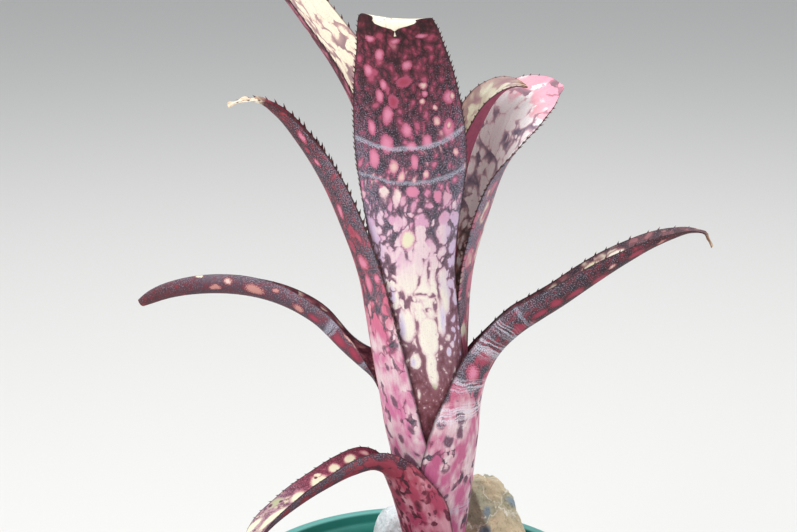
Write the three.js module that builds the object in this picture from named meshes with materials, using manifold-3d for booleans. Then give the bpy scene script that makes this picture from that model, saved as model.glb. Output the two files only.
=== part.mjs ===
// A spotted billbergia in a round nursery pot: pot, soil, stem, eight leaves and four stones.
// Millimetres, +Z up, origin in the middle of the pot's underside. The plant's front faces -Y.

import * as THREE from 'three';
import { mergeVertices } from 'three/addons/utils/BufferGeometryUtils.js';
import ManifoldModule from 'manifold-3d';

const wasm = await ManifoldModule();
wasm.setup();

const DEGREE = Math.PI / 180;

// Clearance between pieces that touch.
const GAP = 0.3;

// Pot
const POT = {
  height: 140,
  rimRadius: 80,
  rimDepth: 9,
  lipWidth: 4.5,
  lipRound: 1.1,
  wall: 1.6,
  floor: 2.4,
  baseRadius: 57,
  footRound: 2,
  shoulderRadius: 75.5,
  ledgeDrop: 5,
  ledgeWidth: 1.2,
  ledgeSlope: 1,
  drainHoles: 8,
  drainRadius: 5,
  drainRing: 46,
  drainSides: 12,
  sides: 40,
};

// Soil
const SOIL = { top: 125, chamfer: 2 };

// Plant: where its axis meets the soil, and how far the axis leans to the left.
const PLANT = { footX: 12, footZ: SOIL.top, lean: 3.8 };

// Outer radius of the tube of sheaths at heights above the soil, as [height, radius].
const TUBE = [
  [-6, 12], [0, 12.4], [38, 15.3], [55, 18.4], [74, 21.6], [88, 24], [101, 25.2], [131, 25.6], [160, 26],
];

// Nesting of the sheaths, counted from the outermost inwards.
const SHEATH = { thickness: 0.9, pitch: 1.5, footStep: 7, footDepth: 5, pathStep: 10 };

// Stem inside the tube
const STEM = { rootDepth: 30, rootRadius: 7, tipHeight: 53, tipRound: 3, tipTaper: 1, sides: 32 };

// Leaf mesh: longest and shortest step along the midrib, most turn in a step, and the depth of an
// arc over its facets.
const MESH = {
  step: 12,
  leastStep: 1.5,
  turn: 15 * DEGREE,
  sagitta: 0.32,
  fewestColumns: 4,
  mostColumns: 12,
};

// Marginal spines
const SPINE = { pitch: 14, height: 2.4, halfBase: 1.2, hook: 0.9, tipMargin: 5 };

// Share of its thickness that a leaf loses towards its margins.
const MARGIN_THINNING = 0.25;

// Turn of the section about the midrib, in degrees, on a leaf that states none.
const UNTWISTED = [[0, 0], [1, 0]];

// Distance within which points of a mesh are one.
const MERGE = 1e-4;

// Leaves, outermost first. A leaf starts as a sheath wrapped round the axis, up to the height
// sheathTop. Its midrib then runs through the blade points [out, aside, up], measured from the
// axis in the leaf's own plane. Half widths and cup radii are [distance along midrib, value].
// The section turns from level to square across the midrib over the release length.
const LEAVES = [
  {
    name: 'leaf_low_front',
    colour: 0xa04862,
    azimuth: -52,
    sheathTop: 54,
    blade: [
      [20.4, 0, 63], [25, 0, 73], [32, 0, 77.8], [43.5, 0, 78.8], [57.5, 0, 77.2], [73, 0, 73.8],
      [88.5, 0, 68], [100.5, 0, 58.8],
    ],
    halfWidth: [
      [0, 19], [38, 21], [54, 21.5], [61, 22], [67, 20.5], [73, 18], [79, 15.5], [86, 13.8], [100, 12.4],
      [130, 10.2], [152, 6], [160, 1.2],
    ],
    cup: [[12, 17], [30, 9.4], [60, 9.4], [100, 9.4]],
    twist: [[0, 0], [14, 0], [40, 11], [100, 11]],
    release: 12,
    spinesFrom: 72,
  },
  {
    name: 'leaf_low_left',
    colour: 0x6f4f5c,
    azimuth: -150,
    sheathTop: 96,
    blade: [
      [25.8, 9.8, 109], [28.5, 22.6, 119.6], [40.7, 31.8, 132.4], [51.1, 40, 138.8], [62.1, 48.5, 142.2],
      [73, 57, 143.2], [84.4, 65.9, 142.4], [96.2, 75.2, 139.8], [108, 84.3, 135],
    ],
    halfWidth: [
      [0, 14], [60, 13], [82, 12], [98, 10.5], [112, 9.6], [125, 10.2], [150, 10.8], [188, 10.4], [212, 8.6],
      [225, 6.2], [232, 3.4],
    ],
    cup: [[10, 12], [20, 6], [28, 4.4], [60, 4.6], [100, 4.4], [122, 3.6], [135, 3]],
    twist: [[0, 0], [10, 2], [40, 22], [135, 20]],
    release: 22,
    spinesFrom: 124,
  },
  {
    name: 'leaf_low_right',
    colour: 0x995068,
    azimuth: 85,
    sheathTop: 94,
    blade: [
      [24.4, 0, 108], [32, 0, 121], [41.2, 0, 129.3], [49.8, 0, 134.8], [58.8, 0, 140.3], [68.2, 0, 146.6],
      [77.1, 0, 152.5], [87, 0, 158.6], [96.7, 0, 164], [105.4, 0, 167.7], [112.8, 0, 169.8],
      [118, 0, 169], [121.4, 0, 163],
    ],
    halfWidth: [
      [0, 20], [60, 32], [75, 33], [90, 30.5], [105, 22.8], [120, 17], [135, 15.8], [150, 14.5], [185, 11.5],
      [210, 6.5], [222, 2.2], [230, 1],
    ],
    cup: [[12, 19], [22, 14], [34, 10], [55, 8.4], [110, 7.4], [140, 6]],
    twist: [[0, 0], [12, -2], [30, -8], [50, -10], [75, -4], [140, -2]],
    release: 26,
    spinesFrom: 92,
  },
  {
    name: 'leaf_arch_left',
    colour: 0x7a3a50,
    azimuth: -80,
    sheathTop: 102,
    blade: [
      [22.4, 0, 122], [24.2, 0, 143], [25.6, 0, 156.6], [28, 0, 167.7], [31.2, 0, 178.8], [38.4, 0, 200.2],
      [47, 0, 217.6], [55.8, 0, 230.7], [62.4, 0, 236.4], [67.8, 0, 236.9], [74, 0, 235.6],
    ],
    halfWidth: [
      [0, 19], [60, 24.5], [90, 23.5], [115, 22.5], [148, 18], [180, 16.2], [210, 13], [231, 8], [240, 4],
      [252, 1],
    ],
    cup: [[30, 22], [70, 17], [140, 9.5]],
    release: 40,
    spinesFrom: 118,
  },
  {
    name: 'leaf_centre',
    colour: 0x8c3c55,
    azimuth: 0,
    sheathTop: 96,
    blade: [
      [19.2, -1, 120], [19.8, -2, 140], [21, -2.4, 160], [23, -1.8, 182], [26, -0.6, 207],
      [31, -1.1, 236], [37.4, -2.3, 257], [42, -3.1, 266.8], [45.6, -3.4, 270.2], [49, -3.5, 270.4],
      [51.4, -3.5, 268.2], [52, -3.5, 264.8],
    ],
    halfWidth: [
      [0, 17], [60, 22], [110, 20.5], [140, 19.8], [165, 21.5], [190, 23.2], [215, 21], [233, 17.2],
      [243, 15.2], [247.4, 13.6], [249.4, 11.2], [251, 8.4], [253.6, 7.6], [254.6, 4.4], [255.4, 1.3],
      [258, 0.5],
    ],
    cup: [[40, 18.8], [56, 19], [86, 26], [111, 44], [150, 48], [168, 60]],
    twist: [[0, 0], [140, 0], [150, 0], [172, -8], [190, -8]],
    release: 40,
    spinesFrom: 112,
  },
  {
    name: 'leaf_back_right',
    colour: 0xbf9aa6,
    azimuth: 100,
    sheathTop: 92,
    blade: [
      [17.2, 0.6, 116], [19, 1.8, 134], [21.2, 2.6, 150], [24.2, 2.2, 163], [27.2, 1, 172.5], [30.8, 0, 183],
      [34.2, 0, 193], [39.2, 0, 208], [43.2, 0, 216.8], [49, 0, 223.6], [55, 0, 227.3], [61, 0, 229.4],
      [65, 0, 229.6],
    ],
    halfWidth: [
      [0, 16], [60, 19.5], [85, 16], [102, 15.5], [130, 16], [155, 17.8], [172, 18.5], [186, 16.5],
      [197, 13], [205, 9], [210, 4.5], [213, 0.8],
    ],
    cup: [[30, 16], [70, 15], [90, 15.5], [110, 17.5], [125, 22], [150, 30]],
    twist: [[0, 0], [78, 0], [90, 1], [105, 9], [120, 26], [135, 42], [150, 45]],
    release: 40,
    spinesFrom: 108,
  },
  {
    name: 'leaf_back_left',
    colour: 0xcdb8b0,
    azimuth: -118,
    sheathTop: 90,
    blade: [
      [14.6, 0, 130], [16, 0, 170], [18.6, 0, 205], [23.2, 0, 226], [31, 0, 242], [41.8, 0, 257.5],
      [52.4, 0, 271.5], [62, 0, 283], [69, 0, 287.5], [75, 0, 286], [79, 0, 279.5],
    ],
    halfWidth: [[0, 14], [60, 16.8], [150, 16.4], [185, 16.8], [215, 15], [240, 12.5], [252, 8], [263, 1]],
    cup: [[60, 15.6], [110, 16], [170, 16]],
    release: 40,
    spinesFrom: 110,
  },
  {
    name: 'leaf_inner_right',
    colour: 0x85304a,
    azimuth: 92,
    sheathTop: 86,
    blade: [
      [13, 0, 120], [14.8, 0, 160], [19.4, 0, 192], [24.2, 0, 209.4], [29.8, 0, 221.2], [34.8, 0, 228.8],
      [39.6, 0, 232.8], [44, 0, 233.8], [48.6, 0, 232.4],
    ],
    halfWidth: [[0, 12], [60, 14], [140, 14], [162, 13.6], [176, 11.2], [186, 5.4], [192, 0.8]],
    cup: [[60, 11], [110, 10], [150, 10]],
    twist: [[0, 0], [80, 0], [92, 1], [120, 12], [150, 14]],
    release: 40,
    spinesFrom: 130,
  },
];

// Stones that prop the tube: centre, half sizes, turn and tilt in degrees, lumps of shape, seed.
// A facet is a direction and how far the stone reaches that way before it is cut flat.
const STONES = [
  {
    name: 'rock_tan',
    at: [33, 33, 148],
    half: [20, 14, 30],
    turn: 14,
    tilt: -14,
    lumps: 0.1,
    seed: 3,
    facets: [
      [[0.4, 0, 0.915], 23.9], [[0.93, 0.1, 0.35], 16.6], [[0.8, -0.2, 0.6], 18],
      [[0.45, -0.8, 0.4], 11.5], [[-0.5, -0.85, 0.05], 10], [[0.1, -0.75, 0.65], 19],
      [[-0.3, 0.7, 0.65], 21.5], [[0.6, 0.8, 0.2], 12.5], [[-0.9, 0.1, 0.4], 18.5],
    ],
    colour: 0xb9a98c,
  },
  {
    name: 'stone_white',
    at: [-7, 30, 142],
    half: [13, 11, 20],
    turn: -12,
    tilt: 8,
    lumps: 0.1,
    seed: 11,
    colour: 0xd8dee0,
  },
  {
    name: 'stone_white_left',
    at: [-32, 40, 132],
    half: [9, 9, 10],
    turn: 30,
    tilt: 0,
    lumps: 0.1,
    seed: 23,
    colour: 0xcfd6d8,
  },
  {
    name: 'stone_white_right',
    at: [56, 15, 135],
    half: [10, 9, 12],
    turn: 15,
    tilt: 20,
    lumps: 0.12,
    seed: 31,
    colour: 0xe4e2da,
  },
];

// Power under 1 that squares a ball up into a boulder, and how often its faces are split.
const BOULDER = { squareness: 0.75, detail: 3 };

const COLOURS = { pot: 0x2f7f74, soil: 0x3a2a20, stem: 0x8a7a58 };

const ROUGHNESS = { pot: 0.4, soil: 0.95, stem: 0.7, leaf: 0.5, stone: 0.85 };

function finish(colour, roughness) {
  return new THREE.MeshStandardMaterial({ color: colour, roughness, metalness: 0, flatShading: true });
}

// Value of a [place, value] profile at a place, on a smooth curve through its points.
function along(profile, place) {
  const last = profile.length - 1;
  if (place <= profile[0][0]) return profile[0][1];
  if (place >= profile[last][0]) return profile[last][1];
  let k = 0;
  while (profile[k + 1][0] < place) k += 1;
  const span = profile[k + 1][0] - profile[k][0];
  const f = (place - profile[k][0]) / span;
  const a = slopeAt(profile, k) * span;
  const b = slopeAt(profile, k + 1) * span;
  const [y0, y1] = [profile[k][1], profile[k + 1][1]];
  const f2 = f * f;
  const f3 = f2 * f;
  return y0 * (2 * f3 - 3 * f2 + 1) + a * (f3 - 2 * f2 + f) + y1 * (3 * f2 - 2 * f3) + b * (f3 - f2);
}

// Slope of the smooth curve at the profile's point k: the parabola through it and its neighbours.
function slopeAt(profile, k) {
  const last = profile.length - 1;
  const before = Math.max(k - 1, 0);
  const after = Math.min(k + 1, last);
  const chord = (i, j) => (profile[j][1] - profile[i][1]) / (profile[j][0] - profile[i][0]);
  if (before === k || after === k) return chord(before, after);
  const left = profile[k][0] - profile[k - 1][0];
  const right = profile[k + 1][0] - profile[k][0];
  return (chord(k - 1, k) * right + chord(k, k + 1) * left) / (left + right);
}

// Midrib of a leaf as three profiles over the distance from its foot.
function midrib(leaf, layer) {
  const foot = layer * SHEATH.footStep - SHEATH.footDepth;
  const points = [];
  const steps = Math.ceil((leaf.sheathTop - foot) / SHEATH.pathStep);
  for (let k = 0; k <= steps; k += 1) {
    const up = foot + ((leaf.sheathTop - foot) * k) / steps;
    points.push([sheathRadius(layer, up), 0, up]);
  }
  points.push(...leaf.blade);
  const sheathPoints = steps + 1;
  const profiles = [[], [], []];
  let distance = 0;
  let sheathLength = 0;
  points.forEach((point, k) => {
    if (k > 0) distance += Math.hypot(...point.map((value, axis) => value - points[k - 1][axis]));
    if (k === sheathPoints - 1) sheathLength = distance;
    point.forEach((value, axis) => profiles[axis].push([distance, value]));
  });
  return { profiles, length: distance, sheathLength };
}

// Radius of the middle of a sheath's wall at a height.
function sheathRadius(layer, up) {
  return along(TUBE, up) - SHEATH.thickness / 2 - layer * SHEATH.pitch;
}

function pointAt(rib, distance) {
  return new THREE.Vector3(...rib.profiles.map((profile) => along(profile, distance)));
}

function tangentAt(rib, distance) {
  const reach = 0.5;
  const from = Math.max(distance - reach, 0);
  const to = Math.min(distance + reach, rib.length);
  return pointAt(rib, to).sub(pointAt(rib, from)).normalize();
}

// Frame, cup radius and half width of the leaf's cross-section at a distance along its midrib.
function sectionAt(leaf, rib, distance) {
  const centre = pointAt(rib, distance);
  const past = distance - rib.sheathLength;
  const freed = THREE.MathUtils.smoothstep(past, -leaf.release / 2, leaf.release);
  const forward = new THREE.Vector3(0, 0, 1).lerp(tangentAt(rib, distance), freed).normalize();
  const across = new THREE.Vector3(0, 1, 0).addScaledVector(forward, -forward.y).normalize();
  across.applyAxisAngle(forward, along(leaf.twist ?? UNTWISTED, past) * DEGREE);
  const inward = forward.clone().cross(across);
  const sheathCup = pointAt(rib, rib.sheathLength).x;
  const radius = past <= 0 ? centre.x : along([[0, sheathCup], ...leaf.cup], past);
  const nominalLength = leaf.halfWidth[leaf.halfWidth.length - 1][0];
  const halfWidth = along(leaf.halfWidth, (distance * nominalLength) / rib.length);
  return { centre, forward, across, inward, radius, halfWidth };
}

// Distances along the midrib where the mesh has a row, with three rows for each pair of spines.
function rowPlaces(leaf, rib) {
  const spines = [];
  const first = leaf.spinesFrom;
  const count = Math.floor((rib.length - SPINE.tipMargin - first) / SPINE.pitch);
  for (let k = 0; k <= count; k += 1) spines.push(first + k * SPINE.pitch);
  const rows = [{ place: 0, spine: false }];
  let place = 0;
  while (place < rib.length) {
    const bendPerMm = tangentAt(rib, place + 1).angleTo(tangentAt(rib, place));
    place += THREE.MathUtils.clamp(MESH.turn / bendPerMm, MESH.leastStep, MESH.step);
    const clear = spines.every((spine) => Math.abs(spine - place) > 2 * SPINE.halfBase);
    if (clear && place < rib.length - 1) rows.push({ place, spine: false });
  }
  spines.forEach((spine) => {
    rows.push({ place: spine - SPINE.halfBase, spine: false });
    rows.push({ place: spine, spine: true });
    rows.push({ place: spine + SPINE.halfBase, spine: false });
  });
  rows.push({ place: rib.length, spine: false });
  return rows.sort((a, b) => a.place - b.place);
}

// Points of one row: across the outer face, and across the inner face.
function leafRow(leaf, rib, row) {
  const section = sectionAt(leaf, rib, row.place);
  const { radius, halfWidth } = section;
  const facet = 2 * Math.acos(Math.max(1 - MESH.sagitta / radius, 0));
  const wanted = Math.ceil((2 * halfWidth) / (radius * facet));
  const columns = THREE.MathUtils.clamp(2 * Math.ceil(wanted / 2), MESH.fewestColumns, MESH.mostColumns);
  const outer = [];
  const inner = [];
  for (let k = 0; k <= columns; k += 1) {
    const v = (2 * k) / columns - 1;
    const atMargin = k === 0 || k === columns;
    const reach = row.spine && atMargin ? SPINE.height : 0;
    const hook = row.spine && atMargin ? SPINE.hook : 0;
    const angle = (v * halfWidth) / radius;
    const side = section.across.clone().multiplyScalar(Math.cos(angle))
      .addScaledVector(section.inward, Math.sin(angle));
    const point = section.centre.clone()
      .addScaledVector(section.across, radius * Math.sin(angle))
      .addScaledVector(section.inward, radius * (1 - Math.cos(angle)))
      .addScaledVector(side, reach * Math.sign(v))
      .addScaledVector(section.forward, hook);
    const normal = section.inward.clone().multiplyScalar(Math.cos(angle))
      .addScaledVector(section.across, -Math.sin(angle));
    const half = (SHEATH.thickness / 2) * (1 - MARGIN_THINNING * v * v);
    outer.push({ v, point: point.clone().addScaledVector(normal, -half) });
    inner.push({ v, point: point.clone().addScaledVector(normal, half) });
  }
  return { outer, inner };
}

// Collects triangles of a closed mesh.
class Shell {
  constructor() {
    this.positions = [];
  }

  triangle(a, b, c) {
    [a, b, c].forEach((point) => this.positions.push(point.x, point.y, point.z));
  }

  // Strip between two rows that may hold different numbers of points.
  strip(lower, upper, flipped) {
    let i = 0;
    let j = 0;
    while (i < lower.length - 1 || j < upper.length - 1) {
      const nextLower = i < lower.length - 1 ? lower[i + 1].v : Infinity;
      const nextUpper = j < upper.length - 1 ? upper[j + 1].v : Infinity;
      const third = nextLower <= nextUpper ? lower[i + 1].point : upper[j + 1].point;
      const corners = [lower[i].point, upper[j].point, third];
      if (flipped) corners.reverse();
      this.triangle(...corners);
      if (nextLower <= nextUpper) i += 1;
      else j += 1;
    }
  }

  geometry() {
    const soup = new THREE.BufferGeometry();
    soup.setAttribute('position', new THREE.Float32BufferAttribute(this.positions, 3));
    const merged = mergeVertices(soup, MERGE);
    merged.computeVertexNormals();
    return merged;
  }
}

// One leaf as a closed thin solid with spined margins, turned to its azimuth.
function buildLeaf(leaf, layer) {
  const rib = midrib(leaf, layer);
  const rows = rowPlaces(leaf, rib).map((row) => leafRow(leaf, rib, row));
  const shell = new Shell();
  for (let k = 0; k < rows.length - 1; k += 1) {
    shell.strip(rows[k].outer, rows[k + 1].outer, true);
    shell.strip(rows[k].inner, rows[k + 1].inner, false);
    [0, 1].forEach((end) => {
      const edge = (row, face) => row[face][end * (row[face].length - 1)].point;
      const [a, b] = [edge(rows[k], 'outer'), edge(rows[k], 'inner')];
      const [c, d] = [edge(rows[k + 1], 'outer'), edge(rows[k + 1], 'inner')];
      const corners = end ? [[a, b, c], [b, d, c]] : [[a, c, b], [b, c, d]];
      corners.forEach((corner) => shell.triangle(...corner));
    });
  }
  shell.strip(rows[0].outer, rows[0].inner, false);
  const last = rows[rows.length - 1];
  shell.strip(last.outer, last.inner, true);
  const mesh = new THREE.Mesh(shell.geometry(), finish(leaf.colour, ROUGHNESS.leaf));
  mesh.name = leaf.name;
  mesh.rotation.z = (leaf.azimuth - 90) * DEGREE;
  return mesh;
}

// Solid for cutting, from a closed geometry.
function toSolid(geometry) {
  const bare = geometry.clone();
  bare.deleteAttribute('normal');
  bare.deleteAttribute('uv');
  const merged = mergeVertices(bare, MERGE);
  return new wasm.Manifold(new wasm.Mesh({
    numProp: 3,
    vertProperties: new Float32Array(merged.attributes.position.array),
    triVerts: new Uint32Array(merged.index.array),
  }));
}

function fromSolid(solid) {
  const mesh = solid.getMesh();
  const geometry = new THREE.BufferGeometry();
  geometry.setAttribute('position', new THREE.BufferAttribute(new Float32Array(mesh.vertProperties), 3));
  geometry.setIndex(new THREE.BufferAttribute(new Uint32Array(mesh.triVerts), 1));
  geometry.computeVertexNormals();
  return geometry;
}

// Turned solid about Z from a profile of [radius, height] that starts and ends on the axis.
function turned(profile, sides) {
  const points = profile.map(([radius, height]) => new THREE.Vector2(radius, height));
  const geometry = new THREE.LatheGeometry(points, sides);
  geometry.rotateX(Math.PI / 2);
  return geometry;
}

// Inner radius of the pot's wall at a height, below its ledge.
function potInnerRadius(height) {
  const rise = (height - POT.floor) / (POT.height - POT.rimDepth - POT.floor);
  return POT.baseRadius + (POT.shoulderRadius - POT.baseRadius) * rise - POT.wall;
}

function buildPot() {
  const rimBottom = POT.height - POT.rimDepth;
  const lipInner = POT.rimRadius - POT.lipWidth;
  const ledge = POT.height - POT.ledgeDrop;
  const profile = [
    [0, 0],
    [POT.baseRadius - POT.footRound, 0],
    [POT.baseRadius, POT.footRound],
    [POT.shoulderRadius, rimBottom],
    [POT.rimRadius - POT.lipRound, rimBottom],
    [POT.rimRadius, rimBottom + POT.lipRound],
    [POT.rimRadius, POT.height - POT.lipRound],
    [POT.rimRadius - POT.lipRound, POT.height],
    [lipInner + POT.lipRound, POT.height],
    [lipInner, POT.height - POT.lipRound],
    [lipInner, ledge],
    [potInnerRadius(rimBottom) + POT.ledgeWidth / 2, ledge - POT.ledgeSlope],
    [potInnerRadius(rimBottom), rimBottom],
    [potInnerRadius(POT.floor), POT.floor],
    [0, POT.floor],
  ];
  let solid = toSolid(turned(profile, POT.sides));
  for (let k = 0; k < POT.drainHoles; k += 1) {
    const angle = ((k + 0.5) * 2 * Math.PI) / POT.drainHoles;
    const hole = new THREE.CylinderGeometry(POT.drainRadius, POT.drainRadius, 4 * POT.floor, POT.drainSides);
    hole.rotateX(Math.PI / 2);
    hole.translate(POT.drainRing * Math.cos(angle), POT.drainRing * Math.sin(angle), 0);
    solid = solid.subtract(toSolid(hole));
  }
  const mesh = new THREE.Mesh(fromSolid(solid), finish(COLOURS.pot, ROUGHNESS.pot));
  mesh.name = 'pot';
  return mesh;
}

// Radius of the stem at a height, so that each leaf's foot lies against it.
function stemRadius(up) {
  const layer = Math.min(Math.max((up + SHEATH.footDepth) / SHEATH.footStep, 0), LEAVES.length - 1);
  return sheathRadius(layer, up) - SHEATH.thickness / 2 - GAP;
}

// Profile of the stem, or of the soil's hole round it when it is wider by a clearance.
function stemProfile(clearance) {
  const collar = -SHEATH.footDepth - GAP;
  const bottom = -STEM.rootDepth - clearance;
  const profile = [[0, bottom], [STEM.rootRadius + clearance, bottom]];
  for (let layer = 0; layer < LEAVES.length; layer += 1) {
    const up = layer * SHEATH.footStep - SHEATH.footDepth;
    profile.push([stemRadius(up) + clearance, layer === 0 ? collar : up]);
  }
  return profile;
}

function buildStem() {
  const profile = stemProfile(0);
  const neck = profile[profile.length - 1][0];
  profile.push([neck - STEM.tipTaper, STEM.tipHeight - STEM.tipRound]);
  profile.push([0, STEM.tipHeight]);
  const mesh = new THREE.Mesh(turned(profile, STEM.sides), finish(COLOURS.stem, ROUGHNESS.stem));
  mesh.name = 'stem';
  return mesh;
}

// Soil with one plain hole for the plant's foot, wide enough at its mouth for the outermost sheath.
function buildSoil(plant) {
  const wallAt = (height) => potInnerRadius(height) - GAP;
  const bottom = POT.floor + GAP;
  const body = toSolid(turned([
    [0, bottom],
    [wallAt(bottom), bottom],
    [wallAt(SOIL.top - SOIL.chamfer), SOIL.top - SOIL.chamfer],
    [wallAt(SOIL.top) - SOIL.chamfer, SOIL.top],
    [0, SOIL.top],
  ], POT.sides));
  const collar = -SHEATH.footDepth - GAP;
  const mouth = along(TUBE, 0) + 2 * GAP;
  const [rootFloor, rootEdge, rootTop] = stemProfile(GAP);
  const above = SHEATH.footStep;
  const holeProfile = [rootFloor, rootEdge, rootTop, [mouth, collar], [mouth, above], [0, above]];
  const hole = turned(holeProfile, STEM.sides);
  hole.applyMatrix4(plant.matrix);
  const mesh = new THREE.Mesh(fromSolid(body.subtract(toSolid(hole))), finish(COLOURS.soil, ROUGHNESS.soil));
  mesh.name = 'soil';
  return mesh;
}

// Smooth seeded unevenness of a direction, between about -1 and 1.
function unevenness(direction, seed) {
  const wave = (size, x, y, z) => size * Math.sin(direction.dot(new THREE.Vector3(x, y, z)) + x * seed);
  return wave(0.5, 2.1, 1.3, -1.7) + wave(0.3, -3.2, 4.1, 2.3) + wave(0.2, 5.3, -4.7, 6.1);
}

// A stone: a faceted ball pushed in and out, with a flat underside that lies on the soil.
function buildStone(stone) {
  const geometry = new THREE.IcosahedronGeometry(1, BOULDER.detail);
  geometry.deleteAttribute('normal');
  geometry.deleteAttribute('uv');
  const ball = mergeVertices(geometry, MERGE);
  const places = ball.attributes.position;
  const seat = SOIL.top + GAP - stone.at[2];
  for (let k = 0; k < places.count; k += 1) {
    const direction = new THREE.Vector3().fromBufferAttribute(places, k).normalize();
    const swell = 1 + stone.lumps * unevenness(direction, stone.seed);
    const squared = new THREE.Vector3(
      ...direction.toArray().map((value) => Math.sign(value) * Math.abs(value) ** BOULDER.squareness),
    );
    const point = squared.clone().normalize().lerp(squared, 0.5)
      .multiplyScalar(swell)
      .multiply(new THREE.Vector3(...stone.half))
      .applyAxisAngle(new THREE.Vector3(0, 1, 0), stone.tilt * DEGREE)
      .applyAxisAngle(new THREE.Vector3(0, 0, 1), stone.turn * DEGREE);
    for (const [normal, reach] of stone.facets ?? []) {
      const outward = new THREE.Vector3(...normal).normalize();
      point.addScaledVector(outward, -Math.max(point.dot(outward) - reach, 0));
    }
    places.setXYZ(k, point.x, point.y, Math.max(point.z, seat));
  }
  ball.computeVertexNormals();
  const mesh = new THREE.Mesh(ball, finish(stone.colour, ROUGHNESS.stone));
  mesh.name = stone.name;
  mesh.position.set(...stone.at);
  return mesh;
}

function buildPart() {
  const plant = new THREE.Group();
  plant.position.set(PLANT.footX, 0, PLANT.footZ);
  plant.rotation.y = -PLANT.lean * DEGREE;
  plant.updateMatrix();
  plant.add(buildStem());
  LEAVES.forEach((leaf, layer) => plant.add(buildLeaf(leaf, layer)));
  const part = new THREE.Group();
  part.add(buildPot(), buildSoil(plant), plant);
  STONES.forEach((stone) => part.add(buildStone(stone)));
  return part;
}

export default buildPart();
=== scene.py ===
"""Looks of a potted sparkling burgundy billbergia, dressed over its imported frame.

Lengths inside the classes are millimetres. A leaf is laid out in its own frame, +X outward from the
plant's axis, +Y aside and +Z up, and a finished mesh is turned into the row frame in metres.
"""

import logging
import math
import random
from collections.abc import Callable, Mapping, Sequence
from dataclasses import dataclass
from enum import Enum

import bmesh
import bpy
from mathutils import Matrix, Vector, noise


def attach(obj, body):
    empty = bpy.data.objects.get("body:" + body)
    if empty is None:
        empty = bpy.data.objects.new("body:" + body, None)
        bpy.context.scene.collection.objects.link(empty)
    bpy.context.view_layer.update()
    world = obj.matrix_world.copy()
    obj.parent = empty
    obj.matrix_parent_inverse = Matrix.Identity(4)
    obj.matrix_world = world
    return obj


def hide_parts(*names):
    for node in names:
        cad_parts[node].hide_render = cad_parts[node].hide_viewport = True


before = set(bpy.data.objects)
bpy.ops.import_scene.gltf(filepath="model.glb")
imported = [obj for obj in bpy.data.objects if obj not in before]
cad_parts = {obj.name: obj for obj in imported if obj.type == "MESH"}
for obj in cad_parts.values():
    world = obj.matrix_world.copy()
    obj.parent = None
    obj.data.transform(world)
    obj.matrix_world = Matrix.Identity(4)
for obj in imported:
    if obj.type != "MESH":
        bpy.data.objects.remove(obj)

LOG = logging.getLogger("billbergia")
MM = 0.001
BODY = "root"
LEAF_MAP = "Leaf"
SHAPE_MAP = "Shape"

Pair = tuple[float, float]
Point = tuple[float, float, float]
Place = tuple[float, float, float, float]
Colour = tuple[float, float, float, float]


def paint(hex_colour: int) -> Colour:
    """Turns a screen colour into the linear colour that a shader takes.

    Args:
        hex_colour: Red, green and blue as 0xRRGGBB.

    Returns:
        Linear red, green and blue, with an alpha of 1.
    """
    def linear(level: float) -> float:
        """Gives one channel's linear level."""
        return level / 12.92 if level <= 0.04045 else ((level + 0.055) / 1.055) ** 2.4

    red, green, blue = (((hex_colour >> shift) & 255) / 255 for shift in (16, 8, 0))
    return linear(red), linear(green), linear(blue), 1.0


def smoothstep(value: float) -> float:
    """Eases a value from 0 to 1, held at both ends."""
    held = min(max(value, 0.0), 1.0)
    return held * held * (3 - 2 * held)


@dataclass(frozen=True)
class Profile:
    """A smooth curve through (place, value) points, held beyond its ends."""

    points: tuple[Pair, ...]

    def slope(self, k: int) -> float:
        """Slope at a point, from the parabola through it and its neighbours.

        Args:
            k: Index of the point.

        Returns:
            The curve's slope there.
        """
        def chord(i: int, j: int) -> float:
            """Gives the slope of the straight line between two points."""
            return (self.points[j][1] - self.points[i][1]) / (self.points[j][0] - self.points[i][0])

        if k == 0:
            return chord(0, 1)
        if k == len(self.points) - 1:
            return chord(k - 1, k)
        left = self.points[k][0] - self.points[k - 1][0]
        right = self.points[k + 1][0] - self.points[k][0]
        return (chord(k - 1, k) * right + chord(k, k + 1) * left) / (left + right)

    def at(self, place: float) -> float:
        """Reads the curve.

        Args:
            place: Where along the curve.

        Returns:
            The curve's value at that place.
        """
        if place <= self.points[0][0]:
            return self.points[0][1]
        if place >= self.points[-1][0]:
            return self.points[-1][1]
        k = next(i for i in range(len(self.points) - 1) if self.points[i + 1][0] >= place)
        (x0, y0), (x1, y1) = self.points[k], self.points[k + 1]
        span = x1 - x0
        f = (place - x0) / span
        a, b = self.slope(k) * span, self.slope(k + 1) * span
        rise = (f - 2 * f * f + f ** 3) * a + (f ** 3 - f * f) * b
        return y0 + (3 * f * f - 2 * f ** 3) * (y1 - y0) + rise


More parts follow.
